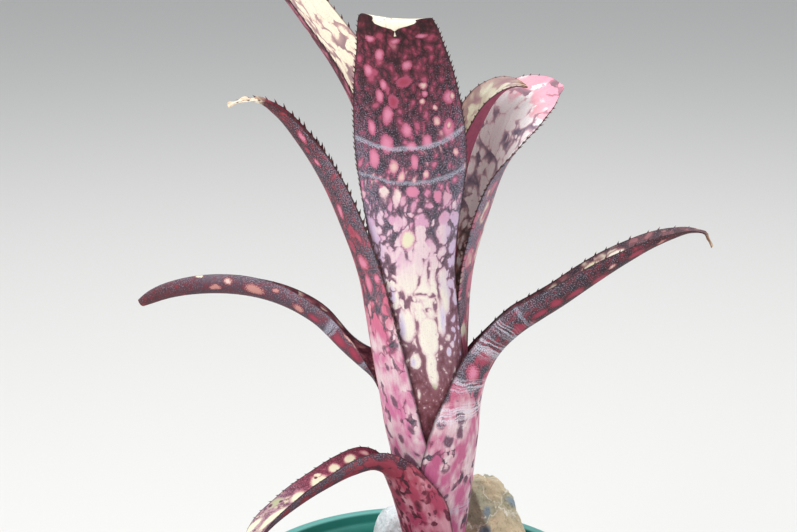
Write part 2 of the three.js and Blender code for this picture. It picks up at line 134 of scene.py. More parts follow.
class Level:
    """A number, vector or colour that a material's nodes work out at each place of a surface."""

    def __init__(self, wiring: "Wiring", socket: bpy.types.NodeSocket) -> None:
        """Notes the socket that it comes from."""
        self.wiring = wiring
        self.socket = socket

    def __add__(self, other: "Value") -> "Level":
        """Adds another."""
        return self.sum("ADD", other)

    def __sub__(self, other: "Value") -> "Level":
        """Takes another away."""
        return self.sum("SUBTRACT", other)

    def __mul__(self, other: "Value") -> "Level":
        """Multiplies by another."""
        return self.sum("MULTIPLY", other)

    def __pow__(self, power: float) -> "Level":
        """Raises a number to a power."""
        return self.sum("POWER", power)

    def __abs__(self) -> "Level":
        """Drops a number's sign."""
        return self.sum("ABSOLUTE")

    def sum(self, operation: str, *others: "Value") -> "Level":
        """Works out one sum, of vectors where it is a vector or a colour.

        Args:
            operation: The node's word for the sum.
            *others: The other terms.

        Returns:
            The result.
        """
        kind = "Math" if self.socket.type == "VALUE" else "VectorMath"
        return self.wiring.level(kind, dict(enumerate((self, *others))), operation=operation)

    def stretch(self, factor: "Value", base: "Value") -> "Level":
        """Multiplies a number by a factor and adds a base."""
        return self.sum("MULTIPLY_ADD", factor, base)

    def most(self, other: "Level", blend: float) -> "Level":
        """Takes the larger of two numbers, rounded off where they cross."""
        return self.sum("SMOOTH_MAX", other, blend)

    def least(self, other: "Level") -> "Level":
        """Takes the smaller of two numbers."""
        return self.sum("MINIMUM", other)

    def held(self) -> "Level":
        """Holds the sum that it comes from between 0 and 1."""
        self.socket.node.use_clamp = True
        return self

    def length(self) -> "Level":
        """Measures a vector."""
        return self.wiring.level("VectorMath", {0: self}, "Value", operation="LENGTH")

    def fade(self, start: "Value", end: "Value") -> "Level":
        """Rises smoothly from 0 where it is start to 1 where it is end, whichever is the larger."""
        inputs = {"Value": self, "From Min": start, "From Max": end}
        return self.wiring.level("MapRange", inputs, interpolation_type="SMOOTHSTEP")

    def mix(self, first: "Value", second: "Value", blend: str = "MIX") -> "Level":
        """Mixes two colours, with itself as the share of the second one.

        Args:
            first: The colour underneath.
            second: The colour laid over it.
            blend: How they mix.

        Returns:
            The mixed colour.
        """
        node = self.wiring.add("Mix", {0: self}, data_type="RGBA", blend_type=blend)
        colours = [socket for socket in node.inputs if socket.type == "RGBA"]
        for socket, colour in zip(colours, (first, second)):
            self.wiring.feed(socket, colour)
        return Level(self.wiring, next(socket for socket in node.outputs if socket.type == "RGBA"))

    def noise(self, scale: float, detail: float = 2.0, output: str = "Fac") -> "Level":
        """Reads a noise texture at the place that it holds."""
        return self.wiring.level("TexNoise", {"Vector": self, "Scale": scale, "Detail": detail}, output)

    def ramp(self, stops: Sequence[tuple[float, Colour]]) -> tuple["Level", "Level"]:
        """Looks a colour up on a ramp.

        Args:
            stops: Place from 0 to 1 and colour of each stop, in order.

        Returns:
            The colour there and its alpha.
        """
        node = self.wiring.add("ValToRGB", {0: self})
        elements = node.color_ramp.elements
        for k, (place, colour) in enumerate(stops):
            element = elements[k] if k < len(elements) else elements.new(place)
            element.position = place
            element.color = colour
        return Level(self.wiring, node.outputs["Color"]), Level(self.wiring, node.outputs["Alpha"])

    def split(self) -> tuple["Level", ...]:
        """Splits a vector or a colour's levels into its three numbers."""
        node = self.wiring.add("SeparateXYZ", {0: self})
        return tuple(Level(self.wiring, socket) for socket in node.outputs)


Value = Level | float | tuple[float, ...]


class Wiring:
    """Lays and joins the nodes of one material."""

    def __init__(self, name: str) -> None:
        """Starts a material with only its shader and output.

        Args:
            name: The material's name.
        """
        self.material = bpy.data.materials.new(name)
        self.material.use_nodes = True
        self.tree = self.material.node_tree
        self.shader = self.tree.nodes["Principled BSDF"]

    def feed(self, socket: bpy.types.NodeSocket, value: Value) -> None:
        """Joins a socket to a level, or sets its number or colour.

        Args:
            socket: The socket.
            value: What goes into it.
        """
        if isinstance(value, Level):
            self.tree.links.new(value.socket, socket)
        else:
            socket.default_value = value

    def add(self, kind: str, inputs: Mapping[str | int, Value], **settings: object) -> bpy.types.Node:
        """Adds a node.

        Args:
            kind: The node's type, without the words ShaderNode in front.
            inputs: What goes into its sockets, by name or number.
            **settings: The node's own options.

        Returns:
            The new node.
        """
        node = self.tree.nodes.new("ShaderNode" + kind)
        for option, setting in settings.items():
            setattr(node, option, setting)
        for key, value in inputs.items():
            self.feed(node.inputs[key], value)
        return node

    def level(
        self, kind: str, inputs: Mapping[str | int, Value], output: str | int = 0, **settings: object
    ) -> Level:
        """Adds a node and takes one of its outputs."""
        return Level(self, self.add(kind, inputs, **settings).outputs[output])

    def coords(self) -> Level:
        """Gives the place in the piece's own coordinates, in metres."""
        return self.level("TexCoord", {}, "Object")

    def chart(self, name: str) -> Level:
        """Gives the place on one of the mesh's own maps."""
        return self.level("UVMap", {}, uv_map=name)

    def dress(self, colour: Value, roughness: Value) -> None:
        """Sets the shader's colour and roughness."""
        self.feed(self.shader.inputs["Base Color"], colour)
        self.feed(self.shader.inputs["Roughness"], roughness)

    def bump(self, height: Level, strength: float, depth: float) -> None:
        """Roughens the shader's surface by a height, depth millimetres high where it is 1."""
        node = self.add("Bump", {"Height": height, "Strength": strength, "Distance": depth * MM})
        self.tree.links.new(node.outputs[0], self.shader.inputs["Normal"])


class Tint(Enum):
    """Colour of a single marking on a leaf."""

    CREAM = 0xEAE3C4
    IVORY = 0xF0EBDA
    BLUSH = 0xE6C3B8
    PEACH = 0xC48A82
    LILAC = 0xD6C6EA
    ROSE = 0xA63C56
    PINK = 0xDE8AA6
    GREEN = 0xB4B892
    SHADE = 0x54383F

    @property
    def core(self) -> float:
        """Share of a marking's size that has the full colour."""
        return 0.2 if self in (Tint.PINK, Tint.ROSE, Tint.BLUSH) else 0.55


@dataclass(frozen=True)
class Oval:
    """A place on a leaf: its middle and half sizes across and along the leaf, in millimetres."""

    aside: float
    along: float
    half_width: float
    half_length: float

    def ring(self, place: Level) -> Level:
        """Works out 0 in its middle to 1 on its rim, and more outside."""
        away = place - (self.aside, self.along, 0.0)
        return (away * (1 / self.half_width, 1 / self.half_length, 0.0)).length()


@dataclass(frozen=True)
class Blotch(Oval):
    """One marking in a colour of its own."""

    tint: Tint


def ovals(*places: Place) -> tuple[Oval, ...]:
    """Lists places on a leaf, each given as aside, along, half width and half length."""
    return tuple(Oval(*place) for place in places)


def marks(*items: Tint | Place) -> tuple[Blotch, ...]:
    """Lists markings, each in the tint that is named last before it.

    Args:
        *items: Tints and places.

    Returns:
        The markings, in the order in which they are laid.
    """
    tint = Tint.CREAM
    listed = []
    for item in items:
        if isinstance(item, Tint):
            tint = item
        else:
            listed.append(Blotch(*item, tint))
    return tuple(listed)


@dataclass(frozen=True)
class Weave:
    """What every layer of a leaf's finish reads: places on the leaf, and its textures.

    drawn is the place shifted by the leaf's own seed, and warped is that bent by two sizes of noise.
    bent bends the plain place half as much. edge runs from 0 at the midrib to 1 at both margins.
    """

    place: Level
    drawn: Level
    warped: Level
    bent: Level
    edge: Level
    grain: Level
    cloud: Level

    def fibres(self, stretch: float, scale: float, detail: float = 2.0) -> Level:
        """Reads a noise that is drawn out along the leaf; a smaller stretch gives longer fibres."""
        return (self.drawn * (1.0, stretch, 0.0)).noise(scale, detail)


@dataclass(frozen=True)
class Band:
    """A pale line of scales across a leaf. It rises by bend towards both margins."""

    along: float
    half_width: float
    bend: float
    strength: float
    lined: bool = False
    tint: int = 0xBFC4D4

    def over(self, colour: Level, weave: Weave, rough: Level) -> Level:
        """Lays the band over a colour.

        Args:
            colour: The colour so far.
            weave: The shared places and textures.
            rough: Distance along the leaf, made uneven.

        Returns:
            The colour with the band.
        """
        line = (weave.edge ** 2.0).stretch(-self.bend, rough)
        strength = abs(line - self.along).fade(1.2 * self.half_width, 0.2 * self.half_width)
        if self.lined:
            strength = strength * (weave.bent * (0.05, 1.0, 0.0)).noise(1.1).fade(0.4, 0.54)
        strength = strength * weave.grain.fade(0.4, 0.56).stretch(0.7, 0.3)
        return (strength * self.strength).mix(colour, paint(self.tint))


@dataclass(frozen=True)
class Wash:
    """A thin wash over the pale tissue, from one place along a leaf to another.

    inner is the share of the half width where it sets in, on both sides.
    """

    start: float
    end: float
    inner: float
    colour: int
    strength: float
    soft_end: float = 8.0

    def over(self, colour: Level, weave: Weave) -> Level:
        """Lays the wash over a colour.

        Args:
            colour: The colour so far.
            weave: The shared places and textures.

        Returns:
            The colour with the wash.
        """
        _, up, _ = weave.place.split()
        begun = up.fade(self.start - self.soft_end, self.start + self.soft_end)
        strength = begun * up.fade(self.end + self.soft_end, self.end - self.soft_end)
        spread = weave.cloud.stretch(0.6, weave.edge - 0.3)
        strength = strength * spread.fade(self.inner, self.inner + 0.3)
        return (strength * self.strength).mix(colour, paint(self.colour))


@dataclass(frozen=True)
class Zone:
    """Look of a leaf at one distance from its foot, which blends into the next zone's.

    spots runs from 0, no spots, to 1, spots that run together. cream runs from 0, rose, to 1, cream.
    scales is the share of grey scales on the ground colour. blur softens the spots' edges, and dark
    lets round patches of the ground show through.
    """

    along: float
    spots: float
    cream: float
    scales: float
    ground: int
    rose: int
    blur: float = 0.08
    dark: float = 0.0


@dataclass(frozen=True)
class Texture:
    """Drawing of a leaf's skin that all leaves share.

    warps holds the scale of a noise and how far it shifts a place across and along. spots holds, for each
    size of spot, that size and the least and most reach of a cell. The shades multiply the colour under
    them. straw holds the stops of a dried tip, from its darkest fibres to its palest.
    """

    seed_step: Pair = (37.0, 53.0)
    warps: tuple[tuple[float, Point], ...] = ((0.11, (5.0, 7.0, 0.0)), (0.55, (1.3, 1.6, 0.0)))
    grain_scale: float = 2.1
    cloud_scale: float = 0.17
    spots: tuple[Point, ...] = ((1.0, 0.1, 1.0), (0.6, -0.6, 0.95), (0.36, -1.7, 0.9))
    cell_softness: float = 0.3
    rim_shade: Colour = (0.66, 0.4, 0.48, 1)
    vein_shade: Colour = (0.8, 0.74, 0.77, 1)
    grain_shade: Colour = (0.86, 0.78, 0.81, 1)
    keel: int = 0xC8697A
    straw: tuple[tuple[float, int], ...] = (
        (0.26, 0x5E3628), (0.38, 0xAA8468), (0.5, 0xDCC6AA), (0.7, 0xF0E8D6),
    )
    relief: float = 0.25
    sheen: float = 0.45

    def weave(self, wiring: Wiring, across: Level, seed: float) -> Weave:
        """Lays the places and textures that the layers share.

        Args:
            wiring: The material's wiring.
            across: 0 at one margin to 1 at the other.
            seed: The face's own number.

        Returns:
            The shared places and textures.
        """
        place = wiring.chart(LEAF_MAP)
        drawn = place + (seed * self.seed_step[0], seed * self.seed_step[1], 0.0)
        warped = drawn
        for scale, reach in self.warps:
            warped = warped + (drawn.noise(scale, 1.0, "Color") - (0.5, 0.5, 0.5)) * reach
        bent = place + (warped - drawn) * (0.5, 0.5, 0.0)
        grain = drawn.noise(self.grain_scale, 1.0)
        cloud = (drawn * (1.0, 0.5, 0.0)).noise(self.cloud_scale)
        return Weave(place, drawn, warped, bent, abs(across.stretch(2.0, -1.0)), grain, cloud)

    def cells(self, place: Level, size: Pair, offset: float) -> tuple[Level, Level, Level]:
        """Divides the leaf into rounded cells.

        Args:
            place: The place on the leaf.
            size: Width and length of a cell.
            offset: Shifts the pattern.

        Returns:
            The distance from the middle of the cell, and two chance values of its own.
        """
        shrunk = place * (1 / size[0], 1 / size[1], 0.0) + (offset, offset, 0.0)
        inputs = {"Vector": shrunk, "Scale": 1.0, "Smoothness": self.cell_softness}
        cell = place.wiring.add("TexVoronoi", inputs, voronoi_dimensions="2D", feature="SMOOTH_F1")
        distance, colour = (Level(place.wiring, cell.outputs[name]) for name in ("Distance", "Color"))
        chance, other, _ = colour.split()
        return distance, chance, other


SKIN = Texture()


@dataclass(frozen=True)
class LeafFinish:
    """Finish of one face of a leaf: spots over a ground that is sprinkled with grey scales.

    Pools join the large spots and hollows cut them. Tinges only colour the pale tissue, and blotches
    stand out by themselves.
    """

    zones: tuple[Zone, ...]
    cream: int = 0xE9E2CC
    scale_colour: int = 0x8D8E9F
    spot_size: Pair = (5.0, 8.0)
    dark_size: Pair = (7.0, 9.0)
    spread: float = 0.12
    own_look: float = 0.5
    halo: float = 0.35
    clear_margin: float = 0.25
    middle_scales: float = 0.6
    streaks: float = 0.35
    bands: tuple[Band, ...] = ()
    pools: tuple[Oval, ...] = ()
    hollows: tuple[Oval, ...] = ()
    tinges: tuple[Blotch, ...] = ()
    blotches: tuple[Blotch, ...] = ()
    washes: tuple[Wash, ...] = ()
    margin: int = 0x2E1219
    margin_width: float = 0.05
    keel: float = 0.0
    dry_from: float = 1e4
    dry_shade: float = 0.0
    roughness: float = 0.42
    ragged: float = 0.3

    def material(self, name: str, length: float, seed: float) -> bpy.types.Material:
        """Makes the material of this face.

        Args:
            name: The material's name.
            length: The leaf's length along its midrib.
            seed: The face's own number, which sets its spots apart from other faces'.

        Returns:
            The material.
        """
        def stops(look: Callable[[Zone], Colour]) -> list[tuple[float, Colour]]:
            """Gives one look of every zone as the stops of a ramp."""
            return [(min(zone.along / length, 1.0), look(zone)) for zone in self.zones]

        wiring = Wiring(name)
        across, up, _ = wiring.chart(SHAPE_MAP).split()
        weave = SKIN.weave(wiring, across, seed)
        shares, dark = up.ramp(stops(lambda zone: (zone.spots, zone.cream, zone.scales, zone.dark)))
        ground, blur = up.ramp(stops(lambda zone: (*paint(zone.ground)[:3], zone.blur)))
        rose, _ = up.ramp(stops(lambda zone: paint(zone.rose)))
        spots, cream, scales = shares.split()
        inside, chance = self.spots(weave, spots)
        half_blur = blur * 0.5
        mask = inside.fade(half_blur * -1.0, half_blur) * self.gaps(weave, dark)
        glow = inside.fade(-0.3, 0.02) * self.halo
        ground = self.scaled(glow.mix(ground, rose), weave, scales)
        colour = mask.mix(ground, self.tissue(weave, rose, cream, inside, chance))
        colour = self.marked(colour, weave, rose)
        _, uneven, _ = weave.bent.split()
        uneven = weave.grain.stretch(2.4, uneven - 1.2)
        for band in self.bands:
            colour = band.over(colour, weave, uneven)
        rough = mask.stretch(-0.12, self.roughness + 0.16)
        wiring.dress(self.worn(colour, weave), weave.grain.stretch(0.16, rough))
        wiring.bump(weave.grain.stretch(0.4, weave.fibres(0.02, 0.75)), 0.35, SKIN.relief)
        wiring.shader.inputs["Specular IOR Level"].default_value = SKIN.sheen
        return wiring.material

    def spots(self, weave: Weave, share: Level) -> tuple[Level, Level]:
        """Lays three sizes of oval spots that grow with the share until they run together.

        Args:
            weave: The shared places and textures.
            share: The zone's share of spots.

        Returns:
            How far inside a spot a place is, in large cells, and the spot's own chance value.
        """
        here = share * weave.edge.fade(0.6, 1.0).stretch(-self.clear_margin, 1.0)
        inside, chance = None, None
        for k, (size, least, most) in enumerate(SKIN.spots):
            cell = (self.spot_size[0] * size, self.spot_size[1] * size)
            distance, own, other = SKIN.cells(weave.warped, cell, 7.3 * k)
            depth = (here * own.stretch(most - least, least) - distance) * size
            if inside is None:
                inside, chance = self.shaped(weave, depth), other
            else:
                larger = (depth - inside).fade(-0.02, 0.02)
                chance = larger.stretch(other - chance, chance)
                inside = inside.most(depth, 0.05)
        return weave.grain.stretch(0.07, inside - 0.035), chance

    def shaped(self, weave: Weave, inside: Level) -> Level:
        """Joins the pools to the large spots, then cuts the hollows out.

        Args:
            weave: The shared places and textures.
            inside: How far inside a spot a place is.

        Returns:
            The same with the pools and hollows.
        """
        def depth(oval: Oval, outward: float) -> Level:
            """Gives the distance from an oval's rim, in large cells: outward 1 outside, -1 inside."""
            least = min(oval.half_width, oval.half_length) / self.spot_size[0]
            return oval.ring(weave.bent).stretch(outward * least, -outward * least)

        for oval in self.pools:
            inside = inside.most(depth(oval, -1.0), 0.06)
        for oval in self.hollows:
            inside = inside.least(depth(oval, 1.0))
        return inside

    def gaps(self, weave: Weave, dark: Level) -> Level:
        """Opens round patches in the pale tissue.

        Args:
            weave: The shared places and textures.
            dark: The zone's share of dark patches.

        Returns:
            0 in a patch and 1 outside.
        """
        distance, own, _ = SKIN.cells(weave.warped, self.dark_size, 3.1)
        reach = weave.grain.stretch(0.22, dark * own.stretch(1.2, -0.3) - 0.11)
        return (reach - distance).fade(0.07, -0.07)

    def scaled(self, ground: Level, weave: Weave, scales: Level) -> Level:
        """Sprinkles the ground with grey scales, thickest towards the margins.

        Args:
            ground: The ground colour.
            weave: The shared places and textures.
            scales: The zone's share of scales.

        Returns:
            The ground with its scales.
        """
        outward = (weave.edge ** 2.0).stretch(1 - self.middle_scales, self.middle_scales)
        share = scales * outward * weave.cloud.stretch(0.8, 0.6)
        start = share.stretch(-0.24, 0.66)
        dots = weave.grain.fade(start, start + 0.2)
        return (dots * share.stretch(0.35, 0.5)).held().mix(ground, paint(self.scale_colour))

    def tissue(self, weave: Weave, rose: Level, cream: Level, inside: Level, chance: Level) -> Level:
        """Colours the spots: rose at their rims, and creamier inside and in creamier zones.

        Args:
            weave: The shared places and textures.
            rose: The zone's rose colour.
            cream: The zone's share of cream.
            inside: How far inside a spot a place is.
            chance: The spot's own chance value.

        Returns:
            The colour of the spots.
        """
        varied = weave.cloud.fade(0.3, 0.7).stretch(1 - self.own_look, chance * self.own_look)
        start = cream.stretch(-(1 + 2 * self.spread), 1.0)
        share = varied.fade(start, start + 2 * self.spread) * inside.fade(0.0, 0.2).stretch(0.55, 0.45)
        rim = inside.fade(0.1, 0.0).mix(rose, SKIN.rim_shade, "MULTIPLY")
        colour = share.mix(rim, paint(self.cream))
        for wash in self.washes:
            colour = wash.over(colour, weave)
        for tinge in self.tinges:
            strength = tinge.ring(weave.bent).fade(1.4, 0.0) * 0.85
            colour = strength.mix(colour, paint(tinge.tint.value))
        streaks = weave.fibres(0.06, 1.3).fade(0.62, 0.42) * self.streaks
        colour = streaks.mix(colour, SKIN.vein_shade, "MULTIPLY")
        return weave.grain.fade(0.44, 0.3).mix(colour, SKIN.grain_shade, "MULTIPLY")

    def marked(self, colour: Level, weave: Weave, rose: Level) -> Level:
        """Adds the markings that stand out, each with a rosy rim.

        Args:
            colour: The colour so far.
            weave: The shared places and textures.
            rose: The zone's rose colour.

        Returns:
            The colour with its markings.
        """
        for blotch in self.blotches:
            ring = weave.grain.stretch(-self.ragged, blotch.ring(weave.bent) + self.ragged / 2)
            core = ring.fade(1.0, blotch.tint.core).mix(rose, paint(blotch.tint.value))
            colour = ring.fade(1.08 + self.ragged / 8, 0.94 - self.ragged / 4).mix(colour, core)
        return colour

    def worn(self, colour: Level, weave: Weave) -> Level:
        """Adds the rosy keel, the dark margin and the dried tip.

        Args:
            colour: The colour so far.
            weave: The shared places and textures.

        Returns:
            The colour with its worn parts.
        """
        aside, up, _ = weave.place.split()
        patchy = weave.drawn.noise(0.2, 3.0)
        if self.keel:
            ridge = abs(aside).fade(2.0, 0.4) * patchy.stretch(self.keel, 0.15)
            colour = ridge.held().mix(colour, paint(SKIN.keel))
        rim = weave.edge.fade(1 - self.margin_width, 1.0) * 0.85
        colour = rim.mix(colour, paint(self.margin))
        shade = weave.fibres(0.15, 1.1, 3.0) - self.dry_shade
        straw, _ = shade.ramp([(place, paint(tone)) for place, tone in SKIN.straw])
        dried = patchy.stretch(7.0, up).fade(self.dry_from + 2.0, self.dry_from + 6.0)
        return dried.mix(colour, straw)


@dataclass(frozen=True)
class SpineFinish:
    """Dark horn of the marginal spines, with patches of red-brown."""

    tip: int = 0x1E0A0C
    root: int = 0x5A1F24
    roughness: float = 0.4

    def material(self) -> bpy.types.Material:
        """Makes the spines' material.

        Returns:
            The material.
        """
        wiring = Wiring("spine_horn")
        patches = wiring.coords().noise(900.0)
        colour = patches.fade(0.35, 0.7).mix(paint(self.tip), paint(self.root))
        wiring.dress(colour, patches.stretch(0.2, self.roughness))
        return wiring.material


@dataclass(frozen=True)
class PlasticFinish:
    """Moulded teal-green plastic, dusty and faintly streaked, with a paler lip."""

    base: int = 0x1F7469
    cloudy: int = 0x2A8478
    worn: int = 0x5FA39C
    dust: int = 0x9AA79A
    roughness: float = 0.34
    lip_depth: float = 1.3

    def material(self, rim_height: float) -> bpy.types.Material:
        """Makes the pot's material.

        Args:
            rim_height: Height of the rim's top, where the plastic is paler.

        Returns:
            The material.
        """
        wiring = Wiring("pot_plastic")
        coords = wiring.coords()
        _, _, height = coords.split()
        cloud = coords.noise(22.0, 4.0)
        fine = coords.noise(700.0, 3.0)
        runs = (coords * (1.0, 1.0, 0.12)).noise(110.0, 3.0)
        lip = height.fade((rim_height - self.lip_depth) * MM, rim_height * MM) * 0.75
        colour = cloud.fade(0.35, 0.75).mix(paint(self.base), paint(self.cloudy))
        colour = lip.mix(colour, paint(self.worn))
        stain = runs.fade(0.55, 0.78) * cloud.fade(0.4, 0.65) * 0.22
        rough = runs.fade(0.4, 0.8).stretch(0.22, self.roughness)
        wiring.dress(stain.mix(colour, paint(self.dust)), fine.stretch(0.1, rough))
        wiring.bump(fine.stretch(0.4, cloud), 0.25, 0.12)
        return wiring.material


@dataclass(frozen=True)
class BarkFinish:
    """Damp bark: dark crumb, or paler chips. The cracks' shade multiplies the colour under it."""

    name: str
    dark: int
    light: int
    cracks: Colour = (0.45, 0.4, 0.38, 1)
    roughness: float = 0.85

    def material(self) -> bpy.types.Material:
        """Makes the bark's material.

        Returns:
            The material.
        """
        wiring = Wiring(self.name)
        coords = wiring.coords()
        patches = coords.noise(130.0, 4.0)
        grain = (coords * (1.0, 0.3, 1.0)).noise(1400.0, 4.0)
        colour = patches.fade(0.3, 0.7).mix(paint(self.dark), paint(self.light))
        colour = grain.fade(0.6, 0.35).mix(colour, self.cracks, "MULTIPLY")
        wiring.dress(colour, grain.stretch(-0.25, self.roughness + 0.1))
        wiring.bump(grain.stretch(0.5, patches), 0.8, 0.8)
        return wiring.material


@dataclass(frozen=True)
class StoneFinish:
    """Rock of two colours, with patches of a third and a pale vein."""

    name: str
    light: int
    warm: int
    patch: int
    vein: int
    patch_share: float
    vein_share: float
    roughness: float
    pits: Colour = (0.74, 0.7, 0.66, 1)

    def material(self) -> bpy.types.Material:
        """Makes the stone's material.

        Returns:
            The material.
        """
        wiring = Wiring(self.name)
        coords = wiring.coords()
        broad = coords.noise(55.0, 5.0)
        other = (coords + (3.1, 1.7, 2.3)).noise(70.0, 3.0)
        fine = coords.noise(900.0, 4.0)
        colour = broad.fade(0.38, 0.62).mix(paint(self.light), paint(self.warm))
        patch = other.fade(0.72 - 0.3 * self.patch_share, 0.82 - 0.3 * self.patch_share)
        colour = patch.mix(colour, paint(self.patch))
        vein = abs(broad - 0.5).fade(0.02 * self.vein_share, 0.0) * other.fade(0.4, 0.6)
        colour = vein.mix(colour, paint(self.vein))
        colour = fine.fade(0.48, 0.3).mix(colour, self.pits, "MULTIPLY")
        wiring.dress(colour, fine.stretch(-0.2, self.roughness + 0.1))
        wiring.bump(fine.stretch(0.35, broad), 0.9, 0.9)
        return wiring.material


# Edges that turn more than this stay sharp.
CREASE = math.radians(50)


def finished(
    shape: bmesh.types.BMesh,
    name: str,
    materials: Sequence[bpy.types.Material],
    to_row: Matrix | None = None,
    crease: float = CREASE,
) -> bpy.types.Object:
    """Makes a piece of a millimetre mesh.

    Args:
        shape: The mesh, which is freed.
        name: The piece's name.
        materials: Its materials, in the order of the mesh's material numbers.
        to_row: Turns the mesh into the row frame, in millimetres.
        crease: Edges that turn more than this stay sharp.

    Returns:
        The piece, with its object at the origin.
    """
    bmesh.ops.transform(shape, matrix=Matrix.Scale(MM, 4) @ (to_row or Matrix()), verts=shape.verts)
    for face in shape.faces:
        face.smooth = True
    for edge in shape.edges:
        if len(edge.link_faces) == 2 and edge.calc_face_angle(0.0) > crease:
            edge.smooth = False
    mesh = bpy.data.meshes.new(name)
    shape.to_mesh(mesh)
    shape.free()
    for material in materials:
        mesh.materials.append(material)
    piece = bpy.data.objects.new(name, mesh)
    bpy.context.scene.collection.objects.link(piece)
    return piece


def adopt(piece: bpy.types.Object, slot: str, *nodes: str) -> bpy.types.Object:
    """Fixes a piece to the body and lets it stand for nodes of the frame, which it hides.

    Args:
        piece: The finished piece.
        slot: Not used.
        *nodes: Nodes that the piece stands for.

    Returns:
        The same piece.
    """
    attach(piece, BODY)
    if nodes:
        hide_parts(*nodes)
    LOG.info("%s: %d faces", piece.name, len(piece.data.polygons))
    return piece


@dataclass(frozen=True)
class Tube:
    """The tube of sheaths round the plant's axis, and where that axis stands."""

    foot: Point = (12.0, 0.0, 125.0)
    lean: float = math.radians(3.8)
    wall: float = 0.9
    pitch: float = 1.5
    foot_step: float = 7.0
    foot_depth: float = 5.0
    path_step: float = 10.0
    outline: Profile = Profile((
        (-6, 12), (0, 12.4), (38, 15.3), (55, 18.4), (74, 21.6), (88, 24), (101, 25.2), (131, 25.6),
        (160, 26),
    ))

    def radius(self, layer: int, up: float) -> float:
        """Gives the radius of the middle of a sheath's wall at a height."""
        return self.outline.at(up) - self.wall / 2 - layer * self.pitch

    def to_row(self, azimuth: float = 90.0) -> Matrix:
        """Gives the matrix from a leaf's frame to the row frame, in millimetres."""
        lean = Matrix.Rotation(-self.lean, 4, "Y")
        return Matrix.Translation(self.foot) @ lean @ Matrix.Rotation(math.radians(azimuth - 90), 4, "Z")


@dataclass(frozen=True)
class Midrib:
    """Line of a leaf's middle from its foot to its tip: three coordinates over the distance along it."""

    lines: tuple[Profile, ...]
    length: float
    sheath: float

    def at(self, along: float) -> Vector:
        """Gives the point at a distance from the foot."""
        return Vector([line.at(along) for line in self.lines])


@dataclass(frozen=True)
class Section:
    """Cross-section of a leaf: an arc of the cup's radius about the inward side."""

    centre: Vector
    forward: Vector
    across: Vector
    inward: Vector
    radius: float
    half_width: float

    def point(self, aside: float) -> Vector:
        """Gives a point of the middle surface.

        Args:
            aside: Distance from the midrib along the arc.

        Returns:
            The point.
        """
        angle = aside / self.radius
        arc = self.across * math.sin(angle) + self.inward * (1 - math.cos(angle))
        return self.centre + arc * self.radius

    def side(self, aside: float) -> Vector:
        """Gives the direction along the arc there."""
        angle = aside / self.radius
        return self.across * math.cos(angle) + self.inward * math.sin(angle)

    def normal(self, aside: float) -> Vector:
        """Gives the direction towards the inner face there."""
        angle = aside / self.radius
        return self.inward * math.cos(angle) - self.across * math.sin(angle)


@dataclass(frozen=True)
class Spines:
    """Row of spines along a leaf's margins, hooked towards its tip.

    A spine narrows to shoulder of its base at half its length, and to point of that at its end. Towards
    the leaf's tip the spines shrink to tip_share, and each is drawn between least_size and full size.
    forward leans them to the tip, and splay turns them out of the blade's arc.
    """

    start: float
    pitch: float = 5.6
    length: float = 2.1
    end_gap: float = 4.0
    half_base: float = 0.5
    half_thickness: float = 0.17
    shoulder: float = 0.42
    point: float = 0.12
    hook: float = 0.55
    sunk: float = 0.35
    forward: float = 0.35
    splay: float = 0.0
    jitter: float = 0.2
    least_size: float = 0.8
    tip_share: float = 0.55
    taper_reach: float = 30.0
    sides: int = 6

    def template(self) -> bpy.types.Mesh:
        """Makes one spine, 1 long along +Z and bent towards +X.

        Returns:
            The mesh of the spine.
        """
        shape = bmesh.new()
        bmesh.ops.create_cone(
            shape, cap_ends=True, segments=self.sides, radius1=1.0, radius2=self.shoulder, depth=0.5,
            matrix=Matrix.Translation((0, 0, 0.25)),
        )
        top = [face for face in shape.faces if face.normal.z > 0.9]
        grown = bmesh.ops.extrude_face_region(shape, geom=top)["geom"]
        tip = [item for item in grown if isinstance(item, bmesh.types.BMVert)]
        bmesh.ops.delete(shape, geom=top, context="FACES")
        bmesh.ops.scale(shape, vec=(self.point, self.point, 1.0), verts=tip)
        bmesh.ops.translate(shape, vec=(0, 0, 0.5), verts=tip)
        bmesh.ops.scale(shape, vec=(self.half_base, self.half_thickness, 1.0), verts=shape.verts)
        for vert in shape.verts:
            vert.co.x += self.hook * self.half_base * 2 * vert.co.z ** 2
        mesh = bpy.data.meshes.new("spine_template")
        shape.to_mesh(mesh)
        shape.free()
        return mesh


